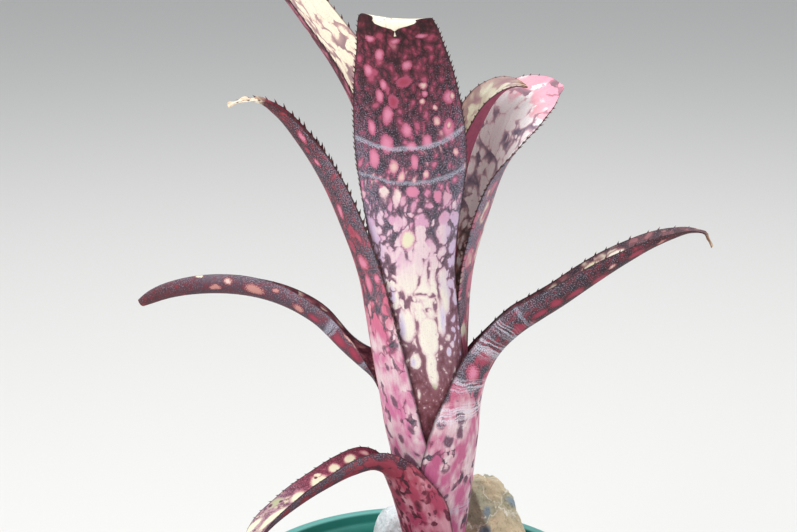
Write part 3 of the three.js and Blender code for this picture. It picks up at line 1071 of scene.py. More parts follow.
@dataclass(frozen=True)
class Leaf:
    """One leaf: a sheath wrapped round the axis, which opens into a curved blade.

    A dried tip crumples from crumple_lead before its straw colour, fully after crumple_rise more.
    crumple_grain is how closely its folds lie across and along the leaf.
    """

    name: str
    layer: int
    azimuth: float
    sheath_top: float
    blade: tuple[Point, ...]
    half_width: Profile
    cup: tuple[Pair, ...]
    release: float
    spines: Spines
    outer: LeafFinish
    inner: LeafFinish
    twist: Profile = Profile(((0, 0), (1, 0)))
    crumple: float = 0.0
    crumple_lead: float = 4.0
    crumple_rise: float = 6.0
    crumple_grain: Pair = (0.5, 0.35)
    thinning: float = 0.6
    row_step: float = 1.3
    columns: int = 26

    def midrib(self, tube: Tube) -> Midrib:
        """Lays the midrib from the foot to the tip.

        Args:
            tube: The tube of sheaths.

        Returns:
            The midrib.
        """
        foot = self.layer * tube.foot_step - tube.foot_depth
        steps = math.ceil((self.sheath_top - foot) / tube.path_step)
        rises = [foot + (self.sheath_top - foot) * k / steps for k in range(steps + 1)]
        points = [Vector((tube.radius(self.layer, up), 0, up)) for up in rises]
        points += [Vector(point) for point in self.blade]
        places = [0.0]
        for before, after in zip(points, points[1:]):
            places.append(places[-1] + (after - before).length)
        lines = tuple(Profile(tuple((at, p[axis]) for at, p in zip(places, points))) for axis in range(3))
        return Midrib(lines, places[-1], places[steps])

    def section(self, rib: Midrib, along: float) -> Section:
        """Works out the cross-section at a distance along the midrib.

        Args:
            rib: The midrib.
            along: Distance from the foot.

        Returns:
            The cross-section.
        """
        centre = rib.at(along)
        before, after = (rib.at(min(max(along + reach, 0.0), rib.length)) for reach in (-0.5, 0.5))
        past = along - rib.sheath
        freed = smoothstep((past + self.release / 2) / (1.5 * self.release))
        forward = Vector((0, 0, 1)).lerp((after - before).normalized(), freed).normalized()
        across = (Vector((0, 1, 0)) - forward * forward.y).normalized()
        across = Matrix.Rotation(math.radians(self.twist.at(past)), 3, forward) @ across
        sheath_cup = rib.lines[0].at(rib.sheath)
        radius = centre.x if past <= 0 else Profile(((0, sheath_cup), *self.cup)).at(past)
        nominal = self.half_width.points[-1][0]
        half_width = self.half_width.at(along * nominal / rib.length)
        return Section(centre, forward, across, forward.cross(across), radius, half_width)

    def sheet(self, tube: Tube) -> bmesh.types.BMesh:
        """Builds the blade and sheath as a thin closed shell, its two faces in materials 0 and 1.

        Args:
            tube: The tube of sheaths.

        Returns:
            The shell, in the leaf's frame.
        """
        rib = self.midrib(tube)
        length = rib.length
        rows = round(length / self.row_step)
        shape = bmesh.new()
        bmesh.ops.create_grid(shape, x_segments=self.columns, y_segments=rows, size=1.0)
        outer = shape.faces[:]
        copied = bmesh.ops.duplicate(shape, geom=outer)["geom"]
        inner = [item for item in copied if isinstance(item, bmesh.types.BMFace)]
        inner_verts = {item for item in copied if isinstance(item, bmesh.types.BMVert)}
        for face in inner:
            face.material_index = 1
        sections = [self.section(rib, length * row / rows) for row in range(rows + 1)]
        spread: dict[bmesh.types.BMVert, Point] = {}
        for vert in shape.verts:
            v, share = vert.co.x, (vert.co.y + 1) / 2
            section = sections[round(share * rows)]
            aside = v * section.half_width
            half = tube.wall / 2 * (1 - self.thinning * v * v)
            lift = half if vert in inner_verts else -half
            lift += self.uneven(aside, length * share)
            vert.co = section.point(aside) + section.normal(aside) * lift
            spread[vert] = (aside, share, v)
        rim = [edge for edge in shape.edges if edge.is_boundary]
        bmesh.ops.bridge_loops(shape, edges=rim)
        bmesh.ops.recalc_face_normals(shape, faces=shape.faces)
        self.map_out(shape, spread, length)
        return shape

    def uneven(self, aside: float, along: float) -> float:
        """Works out the crumple of a dried tip.

        Args:
            aside: Distance from the midrib.
            along: Distance from the foot.

        Returns:
            How far the surface lies off its even place.
        """
        if not self.crumple:
            return 0.0
        tip = smoothstep((along - self.outer.dry_from + self.crumple_lead) / self.crumple_rise)
        across_grain, along_grain = self.crumple_grain
        place = Vector((aside * across_grain, along * along_grain, self.layer * 3.0))
        return tip * self.crumple * noise.noise(place)

    @staticmethod
    def map_out(
        shape: bmesh.types.BMesh, spread: Mapping[bmesh.types.BMVert, Point], length: float
    ) -> None:
        """Writes the two maps: millimetres across and along, and shares of the width and length.

        Args:
            shape: The leaf's shell.
            spread: Distance aside, share of the length and share of the half width of each corner.
            length: The leaf's length.
        """
        leaf_map = shape.loops.layers.uv.new(LEAF_MAP)
        shape_map = shape.loops.layers.uv.new(SHAPE_MAP)
        for face in shape.faces:
            for loop in face.loops:
                aside, share, v = spread[loop.vert]
                loop[leaf_map].uv = (aside, share * length)
                loop[shape_map].uv = ((v + 1) / 2, share)

    def add_spines(self, shape: bmesh.types.BMesh, tube: Tube) -> None:
        """Sets the spines on both margins, in material 2.

        Args:
            shape: The leaf's shell, which they are added to.
            tube: The tube of sheaths.
        """
        rib = self.midrib(tube)
        row = self.spines
        template = row.template()
        draw = random.Random(self.name)
        reach = rib.length - row.end_gap - row.start
        for k in range(int(reach / row.pitch) + 1):
            for side in (-1, 1):
                along = row.start + k * row.pitch + draw.uniform(-row.jitter, row.jitter) * row.pitch
                section = self.section(rib, along)
                aside = side * section.half_width
                outward = section.side(aside).lerp(section.across, row.splay) * side
                outward = (outward + section.forward * row.forward).normalized()
                thick = section.normal(aside)
                ahead = thick.cross(outward).normalized()
                if ahead.dot(section.forward) < 0:
                    ahead.negate()
                taper = smoothstep((rib.length - along) / row.taper_reach)
                taper = row.tip_share + (1 - row.tip_share) * taper
                size = row.length * taper * draw.uniform(row.least_size, 1.0)
                turn = Matrix((ahead, ahead.cross(outward), outward)).transposed()
                if turn.determinant() < 0:
                    turn = Matrix((ahead, outward.cross(ahead), outward)).transposed()
                root = section.point(aside) - outward * row.sunk
                place = Matrix.Translation(root) @ turn.to_4x4() @ Matrix.Scale(size, 4)
                first = len(shape.verts)
                faces = len(shape.faces)
                shape.from_mesh(template)
                shape.verts.ensure_lookup_table()
                shape.faces.ensure_lookup_table()
                bmesh.ops.transform(shape, matrix=place, verts=shape.verts[first:])
                for face in shape.faces[faces:]:
                    face.material_index = 2
        bpy.data.meshes.remove(template)

    def build(self, tube: Tube, horn: bpy.types.Material) -> bpy.types.Object:
        """Builds and dresses the leaf.

        Args:
            tube: The tube of sheaths.
            horn: The spines' material.

        Returns:
            The finished piece.
        """
        length = self.midrib(tube).length
        shape = self.sheet(tube)
        self.add_spines(shape, tube)
        faces = [
            finish.material(f"{self.name}_{face}", length, 2.0 * self.layer + side)
            for side, (face, finish) in enumerate((("outer", self.outer), ("inner", self.inner)))
        ]
        piece = finished(shape, self.name + "_dressed", [*faces, horn], tube.to_row(self.azimuth))
        return adopt(piece, "leaf_blade", self.name)


@dataclass(frozen=True)
class Pot:
    """Round nursery pot with a rolled rim, an inner ledge and drainage holes."""

    height: float = 140.0
    rim_radius: float = 80.0
    rim_depth: float = 9.0
    lip_width: float = 4.5
    wall: float = 1.6
    floor: float = 2.4
    base_radius: float = 57.0
    shoulder_radius: float = 75.5
    ledge_drop: float = 5.0
    ledge_width: float = 1.2
    ledge_slope: float = 1.0
    edge_round: float = 0.9
    edge_turn: float = math.radians(40)
    drain_holes: int = 8
    drain_radius: float = 5.0
    drain_ring: float = 46.0
    steps: int = 144
    finish: PlasticFinish = PlasticFinish()

    def inner_radius(self, up: float) -> float:
        """Gives the inner radius of the wall at a height below the rim."""
        rise = (up - self.floor) / (self.height - self.rim_depth - self.floor)
        return self.base_radius + (self.shoulder_radius - self.base_radius) * rise - self.wall

    def outline(self) -> list[Pair]:
        """Gives the profile of the wall.

        Returns:
            Radius and height of its corners, from the axis underneath to the axis inside.
        """
        rim_bottom = self.height - self.rim_depth
        lip_inner = self.rim_radius - self.lip_width
        ledge = self.height - self.ledge_drop
        return [
            (0, 0),
            (self.base_radius, 0),
            (self.shoulder_radius, rim_bottom),
            (self.rim_radius, rim_bottom),
            (self.rim_radius, self.height),
            (lip_inner, self.height),
            (lip_inner, ledge),
            (self.inner_radius(rim_bottom) + self.ledge_width / 2, ledge - self.ledge_slope),
            (self.inner_radius(rim_bottom), rim_bottom),
            (self.inner_radius(self.floor), self.floor),
            (0, self.floor),
        ]

    def wall_shape(self) -> bmesh.types.BMesh:
        """Spins the wall and rounds its edges.

        Returns:
            The closed pot, without its holes.
        """
        shape = bmesh.new()
        verts = [shape.verts.new((radius, 0, up)) for radius, up in self.outline()]
        edges = [shape.edges.new(pair) for pair in zip(verts, verts[1:])]
        bmesh.ops.spin(
            shape, geom=verts + edges, cent=(0, 0, 0), axis=(0, 0, 1), angle=math.tau, steps=self.steps,
            use_merge=True,
        )
        bmesh.ops.remove_doubles(shape, verts=shape.verts, dist=0.001)
        bmesh.ops.recalc_face_normals(shape, faces=shape.faces)
        sharp = [edge for edge in shape.edges if edge.calc_face_angle(0.0) > self.edge_turn]
        bmesh.ops.bevel(
            shape, geom=sharp, offset=self.edge_round, segments=3, profile=0.5, affect="EDGES", material=-1,
            clamp_overlap=True,
        )
        return shape

    def cutter(self) -> bpy.types.Object:
        """Makes the rods that cut the drainage holes.

        Returns:
            One object that holds all the rods.
        """
        shape = bmesh.new()
        for k in range(self.drain_holes):
            angle = (k + 0.5) * math.tau / self.drain_holes
            middle = (self.drain_ring * math.cos(angle), self.drain_ring * math.sin(angle), 0)
            bmesh.ops.create_cone(
                shape, cap_ends=True, segments=32, radius1=self.drain_radius, radius2=self.drain_radius,
                depth=4 * self.floor, matrix=Matrix.Translation(middle),
            )
        return finished(shape, "drain_rods", [])

    def build(self) -> bpy.types.Object:
        """Builds and dresses the pot.

        Returns:
            The finished piece.
        """
        whole = finished(self.wall_shape(), "pot_whole", [])
        rods = self.cutter()
        cut = whole.modifiers.new("drains", "BOOLEAN")
        cut.operation = "DIFFERENCE"
        cut.solver = "EXACT"
        cut.object = rods
        ready = whole.evaluated_get(bpy.context.evaluated_depsgraph_get())
        mesh = bpy.data.meshes.new_from_object(ready)
        mesh.name = "pot_dressed"
        mesh.materials.clear()
        mesh.materials.append(self.finish.material(self.height))
        piece = bpy.data.objects.new("pot_dressed", mesh)
        bpy.context.scene.collection.objects.link(piece)
        for spent in (whole, rods):
            bpy.data.objects.remove(spent)
        return adopt(piece, "pot_plastic", "pot")


# Waves that make a stone uneven, each with its size and its length along x, y and z.
STONE_WAVES = ((0.5, 2.1, 1.3, -1.7), (0.3, -3.2, 4.1, 2.3), (0.2, 5.3, -4.7, 6.1))
# Dimension, lacunarity, octaves, offset and gain of the ridged noise that makes a stone craggy.
CRAG_NOISE = (0.9, 2.1, 5, 1.0, 2.0)


@dataclass(frozen=True)
class Stone:
    """A stone on the soil: a ball pushed out of shape, with a flat underside.

    Crags are a ridged noise at crag_scale. They stand out by no more than crag_rise, before their
    strength. Each facet is a direction and how far the stone reaches that way before it is cut flat.
    """

    name: str
    at: Point
    half: Point
    turn: float
    tilt: float
    lumps: float
    seed: int
    finish: StoneFinish
    slot: str = "white_stone"
    squareness: float = 0.75
    crags: float = 1.0
    crag_scale: float = 0.11
    crag_middle: float = 1.1
    crag_rise: float = 0.4
    facets: tuple[tuple[Point, float], ...] = ()
    subdivisions: int = 6
    seat: float = 125.3

    @staticmethod
    def wave(direction: Vector, seed: int) -> float:
        """Works out the broad unevenness of a direction.

        Args:
            direction: A point of the unit ball.
            seed: The stone's own number.

        Returns:
            The unevenness, about -1 to 1.
        """
        return sum(
            size * math.sin(direction.dot(Vector((x, y, z))) + x * seed) for size, x, y, z in STONE_WAVES
        )

    def pushed(self, direction: Vector) -> Vector:
        """Moves a point of the unit ball to the stone's surface.

        Args:
            direction: The point of the ball.

        Returns:
            The place on the stone, from its middle.
        """
        swell = 1 + self.lumps * self.wave(direction, self.seed)
        squared = Vector([math.copysign(abs(level) ** self.squareness, level) for level in direction])
        point = squared.normalized().lerp(squared, 0.5) * swell
        point = Vector([level * half for level, half in zip(point, self.half)])
        turned = Matrix.Rotation(math.radians(self.turn), 3, "Z")
        turned = turned @ Matrix.Rotation(math.radians(self.tilt), 3, "Y")
        point = turned @ point
        for normal, reach in self.facets:
            outward = Vector(normal).normalized()
            point -= outward * max(point.dot(outward) - reach, 0.0)
        place = point * self.crag_scale + Vector((self.seed, 0, 0))
        crag = noise.ridged_multi_fractal(place, *CRAG_NOISE) - self.crag_middle
        return point - turned @ direction * max(crag, -self.crag_rise) * self.crags

    def build(self) -> bpy.types.Object:
        """Builds and dresses the stone.

        Returns:
            The finished piece.
        """
        shape = bmesh.new()
        bmesh.ops.create_icosphere(shape, subdivisions=self.subdivisions, radius=1.0)
        for vert in shape.verts:
            vert.co = self.pushed(vert.co.normalized())
            vert.co.z = max(vert.co.z, self.seat - self.at[2])
        place = Matrix.Translation(self.at)
        piece = finished(shape, self.name + "_dressed", [self.finish.material()], place)
        return adopt(piece, self.slot, self.name)


@dataclass(frozen=True)
class Soil:
    """The bark mix: its plain body, a crumbly crust and loose chips.

    The crust's height is crumb times an even share plus coarse and fine unevenness, as crumb_mix says.
    chip_sizes holds the least and most length, width and thickness of a chip.
    """

    top: float = 125.0
    hole_radius: float = 13.6
    crumb: float = 1.9
    crumb_mix: Point = (0.55, 0.45, 0.35)
    coarse_scale: float = 0.09
    fine_scale: float = 0.45
    least_depth: float = 0.4
    wall_gap: float = 0.5
    crust_lift: float = 0.05
    steps_round: int = 150
    steps_across: int = 36
    chips: int = 420
    chip_seed: int = 17
    chip_lift: float = 0.4
    foot_clearance: float = 4.0
    stone_clearance: float = 3.0
    chip_sizes: tuple[Pair, Pair, Pair] = ((3, 8), (2, 5), (0.9, 2))
    chip_tilt: float = 0.35
    chip_wear: float = 0.45
    chip_bevel: float = 0.25
    chip_gap: float = 5.0
    crust_finish: BarkFinish = BarkFinish("bark_crumb", 0x1F140E, 0x4A3222)
    chip_finish: BarkFinish = BarkFinish("bark_chip", 0x3A2416, 0x8A6544)

    def height(self, x: float, y: float) -> float:
        """Works out the crust's height over the soil's body.

        Args:
            x: Place to the right of the pot's axis.
            y: Place behind it.

        Returns:
            The height there.
        """
        coarse = noise.noise(Vector((x * self.coarse_scale, y * self.coarse_scale, 4.0)))
        fine = noise.noise(Vector((x * self.fine_scale, y * self.fine_scale, 9.0)))
        even, coarse_share, fine_share = self.crumb_mix
        return self.least_depth + self.crumb * (even + coarse_share * coarse + fine_share * fine)

    def crust(self, pot: Pot, tube: Tube) -> bpy.types.Object:
        """Builds the crust between the plant's foot and the pot's wall.

        Args:
            pot: The pot round it.
            tube: The tube of sheaths in it.

        Returns:
            The finished piece.
        """
        wall = pot.inner_radius(self.top) - self.wall_gap
        shape = bmesh.new()
        bmesh.ops.create_grid(
            shape, x_segments=self.steps_round, y_segments=self.steps_across, size=1.0
        )
        for vert in shape.verts:
            angle, share = (vert.co.x + 1) * math.pi, (vert.co.y + 1) / 2
            ring = Vector((math.cos(angle), math.sin(angle), 0))
            middle = Vector((tube.foot[0], tube.foot[1], 0)) * (1 - share)
            flat = middle + ring * (self.hole_radius + (wall - self.hole_radius) * share)
            vert.co = Vector((flat.x, flat.y, self.top + self.height(flat.x, flat.y)))
        bmesh.ops.remove_doubles(shape, verts=shape.verts, dist=0.01)
        grown = bmesh.ops.extrude_face_region(shape, geom=shape.faces[:], use_keep_orig=True)["geom"]
        for item in grown:
            if isinstance(item, bmesh.types.BMVert):
                item.co.z = self.top + self.crust_lift
        bmesh.ops.recalc_face_normals(shape, faces=shape.faces)
        piece = finished(shape, "soil_crust", [self.crust_finish.material()])
        return adopt(piece, "potting_mix")

    def bark(self, pot: Pot, tube: Tube, stones: Sequence[Stone]) -> bpy.types.Object:
        """Scatters bark chips over the crust, clear of the plant and the stones.

        Args:
            pot: The pot round them.
            tube: The tube of sheaths.
            stones: The stones on the soil.

        Returns:
            The finished piece.
        """
        draw = random.Random(self.chip_seed)
        reach = pot.inner_radius(self.top) - self.chip_gap
        keep_off = [(tube.foot[0], tube.foot[1], self.hole_radius + self.foot_clearance)]
        keep_off += [(s.at[0], s.at[1], max(s.half[:2]) + self.stone_clearance) for s in stones]
        shape = bmesh.new()
        laid = 0
        while laid < self.chips:
            radius, angle = reach * math.sqrt(draw.random()), draw.uniform(0, math.tau)
            x, y = radius * math.cos(angle), radius * math.sin(angle)
            if any(math.hypot(x - a, y - b) < clear for a, b, clear in keep_off):
                continue
            size = [draw.uniform(least, most) for least, most in self.chip_sizes]
            turn = Matrix.Rotation(draw.uniform(0, math.tau), 4, "Z")
            for axis in "XY":
                turn @= Matrix.Rotation(draw.uniform(-self.chip_tilt, self.chip_tilt), 4, axis)
            place = Matrix.Translation((x, y, self.top + self.height(x, y) + self.chip_lift))
            chip = place @ turn @ Matrix.Diagonal((*size, 1))
            made = bmesh.ops.create_cube(shape, size=1.0, matrix=chip)["verts"]
            for vert in made:
                vert.co += Vector([draw.uniform(-self.chip_wear, self.chip_wear) for _ in range(3)])
            laid += 1
        bmesh.ops.bevel(
            shape, geom=shape.edges[:], offset=self.chip_bevel, segments=1, profile=0.5, affect="EDGES",
            material=-1, clamp_overlap=True,
        )
        piece = finished(shape, "bark_chips", [self.chip_finish.material()])
        return adopt(piece, "potting_mix")

    def build(self, pot: Pot, tube: Tube, stones: Sequence[Stone]) -> None:
        """Dresses the soil's body and lays the crust and the chips.

        Args:
            pot: The pot round the soil.
            tube: The tube of sheaths.
            stones: The stones on the soil.
        """
        dress_node("soil", self.crust_finish.material())
        self.crust(pot, tube)
        self.bark(pot, tube, stones)


def dress_node(name: str, material: bpy.types.Material) -> None:
    """Gives a node of the frame a material and leaves its shape as it is.

    Args:
        name: The node's name.
        material: Its material.
    """
    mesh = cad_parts[name].data
    mesh.materials.clear()
    mesh.materials.append(material)
    LOG.info("%s: dressed as it is", name)


@dataclass(frozen=True)
class Lamp:
    """A soft square lamp: where it hangs, what it points at and its side in metres, and its watts."""

    name: str
    at: Point
    target: Point
    size: float
    power: float

    def hang(self) -> None:
        """Hangs the lamp."""
        lamp = bpy.data.lights.new(self.name, "AREA")
        lamp.shape = "SQUARE"
        lamp.size = self.size
        lamp.energy = self.power
        holder = bpy.data.objects.new(self.name, lamp)
        holder.location = self.at
        holder.rotation_euler = (Vector(self.target) - Vector(self.at)).to_track_quat("-Z", "Y").to_euler()
        bpy.context.scene.collection.objects.link(holder)


@dataclass(frozen=True)
class Studio:
    """Pale floor, soft lights and the photograph's camera. Its lengths are in metres."""

    floor_colour: int = 0xD9D8D5
    floor_size: float = 30.0
    floor_roughness: float = 0.9
    sky: float = 0.55
    sky_colour: Colour = (0.93, 0.96, 1.0, 1)
    lamps: tuple[Lamp, ...] = (
        Lamp("key", (-0.9, -0.9, 1.5), (0, 0, 0.25), 1.3, 25.0),
        Lamp("fill", (1.3, -0.6, 0.9), (0, 0, 0.25), 1.2, 7.0),
        Lamp("top", (0.1, 0.5, 1.6), (0, 0, 0.2), 1.5, 15.0),
    )
    eye: Point = (-0.0077, -0.722, 0.4914)
    pitch: float = math.radians(74)
    lens: float = 80.85
    sensor: float = 36.0

    def lay_floor(self) -> None:
        """Lays the floor under the pot."""
        shape = bmesh.new()
        bmesh.ops.create_grid(shape, x_segments=1, y_segments=1, size=self.floor_size / 2 / MM)
        wiring = Wiring("studio_floor")
        wiring.dress(paint(self.floor_colour), self.floor_roughness)
        finished(shape, "floor", [wiring.material])

    def set_camera(self) -> None:
        """Sets the camera where the photograph was taken."""
        data = bpy.data.cameras.new("camera")
        data.lens = self.lens
        data.sensor_width = self.sensor
        camera = bpy.data.objects.new("camera", data)
        camera.location = self.eye
        camera.rotation_euler = (self.pitch, 0, 0)
        bpy.context.scene.collection.objects.link(camera)
        bpy.context.scene.camera = camera

    def build(self) -> None:
        """Sets up the studio."""
        self.lay_floor()
        for lamp in self.lamps:
            lamp.hang()
        world = bpy.data.worlds.new("studio")
        world.use_nodes = True
        background = world.node_tree.nodes["Background"]
        background.inputs["Color"].default_value = self.sky_colour
        background.inputs["Strength"].default_value = self.sky
        bpy.context.scene.world = world
        bpy.context.scene.view_settings.view_transform = "Standard"
        self.set_camera()


# Finishes of the leaves' outer and inner faces.
LOW_FRONT_OUTER = LeafFinish(
    halo=0.2, spread=0.45, own_look=0.12, cream=0xE2A6B2, dark_size=(3.6, 4.6),
    zones=(
        Zone(0, 1.7, 0.3, 0.3, 0x461824, 0xAC3E62, 0.4, 0.5),
        Zone(55, 1.7, 0.4, 0.3, 0x4A1A28, 0xB44668, 0.4, 0.5),
        Zone(78, 1.3, 0.35, 0.4, 0x4E2230, 0xB4485E, 0.35, 0.4),
        Zone(90, 0.7, 0.2, 0.8, 0x50303C, 0xA84658, 0.3),
        Zone(105, 0.5, 0.1, 0.95, 0x4A343E, 0xA2404E, 0.25),
        Zone(162, 0.35, 0.1, 0.9, 0x42242C, 0x8E3444, 0.2),
    ),
    blotches=marks(Tint.BLUSH, (-4.5, 95.0, 2.0, 3.4)),
    hollows=ovals(
        (1.9, 70.2, 1.6, 2.4), (14.2, 71.4, 1.4, 2.4), (9.7, 64.0, 1.2, 1.8), (15.3, 62.1, 1.5, 1.8),
        (3.3, 57.1, 1.4, 2.0), (7.5, 55.3, 2.8, 1.2), (19.3, 66.0, 1.0, 4.0),
    ),
)
LOW_FRONT_INNER = LeafFinish(
    cream=0xD8D2A8, scale_colour=0xBCA0B4, spot_size=(2.0, 3.4),
    zones=(
        Zone(0, 0.2, 0.0, 0.1, 0x5A1628, 0xA04058),
        Zone(85, 0.22, 0.0, 0.35, 0x601A2E, 0xA84860),
        Zone(118, 0.3, 0.1, 0.5, 0x641E32, 0xB05A70),
        Zone(130, 0.5, 0.5, 0.9, 0x6A3A4E, 0xB08894, 0.15),
        Zone(162, 0.6, 0.6, 1.0, 0x6A4454, 0xB49A9C, 0.2),
    ),
    blotches=marks(
        Tint.BLUSH, (-10.9, 87.6, 1.3, 2.4),
        Tint.CREAM, (-9.0, 94.5, 2.3, 3.2), (-7.4, 103.4, 2.7, 3.6), (-5.8, 113.0, 3.4, 4.6),
        (-8.4, 111.6, 1.2, 2.0), (-4.4, 125.2, 2.6, 4.6), (-2.6, 139.5, 1.8, 9.0), (-6.6, 147.0, 1.4, 5.0),
        Tint.SHADE, (-7.6, 113.2, 0.6, 0.9),
        Tint.GREEN, (-7.8, 134.0, 1.6, 4.6),
        Tint.SHADE, (-8.2, 136.4, 0.7, 1.3), (-7.0, 131.8, 0.5, 1.0),
    ),
)
LOW_LEFT_OUTER = LeafFinish(
    ragged=1.3, halo=0.3, scale_colour=0x96909E, middle_scales=0.4,
    zones=(
        Zone(0, 1.1, 0.2, 0.4, 0x4A343E, 0xC05474, 0.25, 0.3),
        Zone(90, 0.95, 0.2, 0.8, 0x4A3A44, 0xBC506A, 0.28, 0.3),
        Zone(118, 0.3, 0.1, 1.0, 0x504650, 0x9A384E, 0.28),
        Zone(160, 0.16, 0.1, 1.0, 0x4A3A46, 0x8C3044, 0.28),
        Zone(200, 0.14, 0.05, 1.0, 0x443440, 0x842C3C, 0.28),
        Zone(226, 0.25, 0.0, 0.8, 0x48262E, 0x862C36, 0.25),
    ),
    blotches=marks(
        Tint.CREAM, (9.0, 204.0, 1.0, 2.6),
        Tint.BLUSH, (7.4, 189.5, 1.6, 2.8),
        Tint.PEACH, (4.6, 195.5, 1.3, 2.6), (5.8, 176.0, 2.0, 5.4), (8.0, 167.0, 0.9, 1.8),
        (5.4, 155.5, 1.7, 3.6),
        Tint.ROSE, (5.6, 147.0, 1.3, 3.0), (6.6, 134.6, 2.0, 4.0), (7.6, 127.0, 1.8, 3.2),
        Tint.BLUSH, (10.0, 131.0, 0.8, 5.0),
    ),
    bands=(Band(140, 2.2, 0, 0.7, True), Band(122, 1.8, 0, 0.7, True)),
)
LOW_LEFT_INNER = LeafFinish(
    zones=(
        Zone(0, 0.4, 0.2, 0.2, 0x6A2C3C, 0xB86878),
        Zone(150, 0.6, 0.5, 0.4, 0x6A3444, 0xC08088),
        Zone(233, 0.4, 0.3, 0.5, 0x5A2A34, 0xA86068),
    ),
)
LOW_RIGHT_OUTER = LeafFinish(
    ragged=1.3, halo=0.2, scale_colour=0x9896A6, own_look=0.25, cream=0xF0DADC, spread=0.45, dry_from=216,
    dry_shade=0.16,
    zones=(
        Zone(0, 2.0, 0.36, 0.6, 0x463843, 0xC25C8A, 0.3, 0.55),
        Zone(55, 2.0, 0.42, 0.7, 0x4A3C46, 0xCA6490, 0.32, 0.52),
        Zone(84, 1.8, 0.48, 0.8, 0x4A3D46, 0xCC6890, 0.35, 0.48),
        Zone(96, 1.1, 0.45, 0.9, 0x443842, 0xC86284, 0.3, 0.4),
        Zone(106, 0.6, 0.2, 1.0, 0x3E333C, 0xB8506A, 0.3, 0.1),
        Zone(118, 0.26, 0.08, 1.0, 0x372B34, 0xA83E54, 0.3),
        Zone(150, 0.18, 0.0, 0.8, 0x2A1E26, 0x963446, 0.28),
        Zone(190, 0.22, 0.05, 0.6, 0x2C1822, 0x9A3A4C, 0.28),
        Zone(215, 0.2, 0.0, 0.2, 0x40181C, 0x943038, 0.2),
    ),
    bands=(
        Band(90.5, 4.6, 0, 1.0, True, 0xE8DEE8), Band(100.5, 3.0, 0, 0.95, True, 0xDCD4E0),
        Band(115.5, 4.6, 0, 1.0, True, 0xD2CFDA), Band(124.5, 3.4, 0, 0.95, True, 0xC6C4D0),
        Band(133, 2.2, 0, 0.5, True), Band(45, 3.0, 0, 0.6, True),
    ),
    hollows=ovals(
        (-27.0, 88.0, 1.8, 2.2), (-24.6, 96.7, 1.5, 2.0), (-13.8, 86.0, 1.3, 1.6), (-23.1, 73.6, 1.4, 3.4),
        (-13.2, 60.6, 2.2, 2.6), (-16.0, 55.0, 1.4, 4.0), (-6.0, 38.0, 3.4, 4.6), (-1.5, 47.0, 1.6, 5.0),
        (-19.0, 103.5, 3.0, 2.4), (-14.0, 108.5, 2.6, 2.8), (-22.0, 66.0, 1.6, 2.0),
    ),
    blotches=marks(
        Tint.ROSE, (-10.4, 112.4, 3.6, 3.6), (-6.4, 128.4, 2.4, 4.0), (-7.2, 139.6, 1.5, 4.4),
        (-7.2, 148.4, 2.0, 3.4), (-5.8, 157.0, 1.6, 4.2), (-4.5, 168.4, 2.0, 4.6), (-6.0, 186.5, 1.4, 3.4),
        Tint.PINK, (-14.0, 105.0, 3.4, 3.4),
        Tint.BLUSH, (-7.4, 176.4, 1.0, 2.2),
        Tint.PEACH, (-4.8, 198.0, 1.0, 2.4),
    ),
)
LOW_RIGHT_INNER = LeafFinish(
    dry_from=216, dry_shade=0.08,
    zones=(
        Zone(0, 0.3, 0.2, 0.2, 0x6A2C38, 0xB06070),
        Zone(140, 0.45, 0.3, 0.4, 0x3E242C, 0x8A5058, 0.2),
        Zone(160, 0.6, 0.4, 0.6, 0x42303A, 0x9A686E, 0.2),
        Zone(222, 0.4, 0.3, 0.5, 0x42262C, 0x8A5054, 0.2),
    ),
    blotches=marks(Tint.CREAM, (9, 166, 2.2, 6), Tint.IVORY, (8, 178, 1.8, 5)),
)
ARCH_LEFT_OUTER = LeafFinish(
    dry_shade=-0.1, ragged=1.3, halo=0.2, scale_colour=0x9896A6, own_look=0.25, cream=0xF0DADC, spread=0.45,
    keel=1.3, dry_from=229,
    zones=(
        Zone(0, 2.0, 0.4, 0.5, 0x54444E, 0xD4709E, 0.35, 0.4),
        Zone(60, 2.0, 0.5, 0.6, 0x53434C, 0xD878A4, 0.35, 0.42),
        Zone(104, 1.7, 0.5, 0.7, 0x4B3F48, 0xD876A2, 0.35, 0.42),
        Zone(118, 1.25, 0.48, 0.9, 0x463A42, 0xD87298, 0.3, 0.4),
        Zone(130, 0.85, 0.36, 1.0, 0x403640, 0xDA728E, 0.3, 0.15),
        Zone(141, 0.42, 0.2, 1.0, 0x3A303A, 0xD06A82, 0.3),
        Zone(150, 0.24, 0.12, 1.0, 0x342A34, 0xC25C70, 0.3),
        Zone(198, 0.16, 0.05, 1.0, 0x33242E, 0xBA4E60, 0.3),
        Zone(216, 0.2, 0.05, 0.8, 0x3A1C26, 0xAE3C4C, 0.3),
        Zone(236, 0.2, 0.0, 0.1, 0x50121C, 0x9A2C38, 0.2),
    ),
    hollows=ovals(
        (7.0, 123.0, 2.0, 4.0), (17.4, 117.0, 2.0, 4.6), (14.6, 113.8, 2.2, 1.7), (11.0, 110.0, 2.2, 2.4),
        (-1.5, 101.0, 1.6, 4.5), (13.5, 135.0, 2.4, 5.0), (17.0, 128.0, 2.6, 5.5), (5.8, 93.4, 1.7, 1.9),
        (20.0, 82.0, 1.6, 2.2), (3.0, 138.0, 1.6, 5.0),
    ),
    blotches=marks(
        Tint.PINK, (15.0, 144.5, 1.4, 2.2), (9.6, 142.0, 1.9, 4.0), (0.6, 138.0, 1.6, 4.6),
        (9.4, 151.6, 3.0, 3.6), (7.2, 174.7, 1.7, 3.4), (7.6, 197.1, 1.2, 2.4),
        Tint.ROSE, (6.0, 158.4, 1.7, 3.2), (9.8, 165.4, 2.1, 2.7), (3.1, 182.2, 1.0, 2.2),
        (6.4, 203.7, 1.0, 1.8),
        Tint.PINK, (7.8, 210.0, 1.4, 3.2),
    ),
)
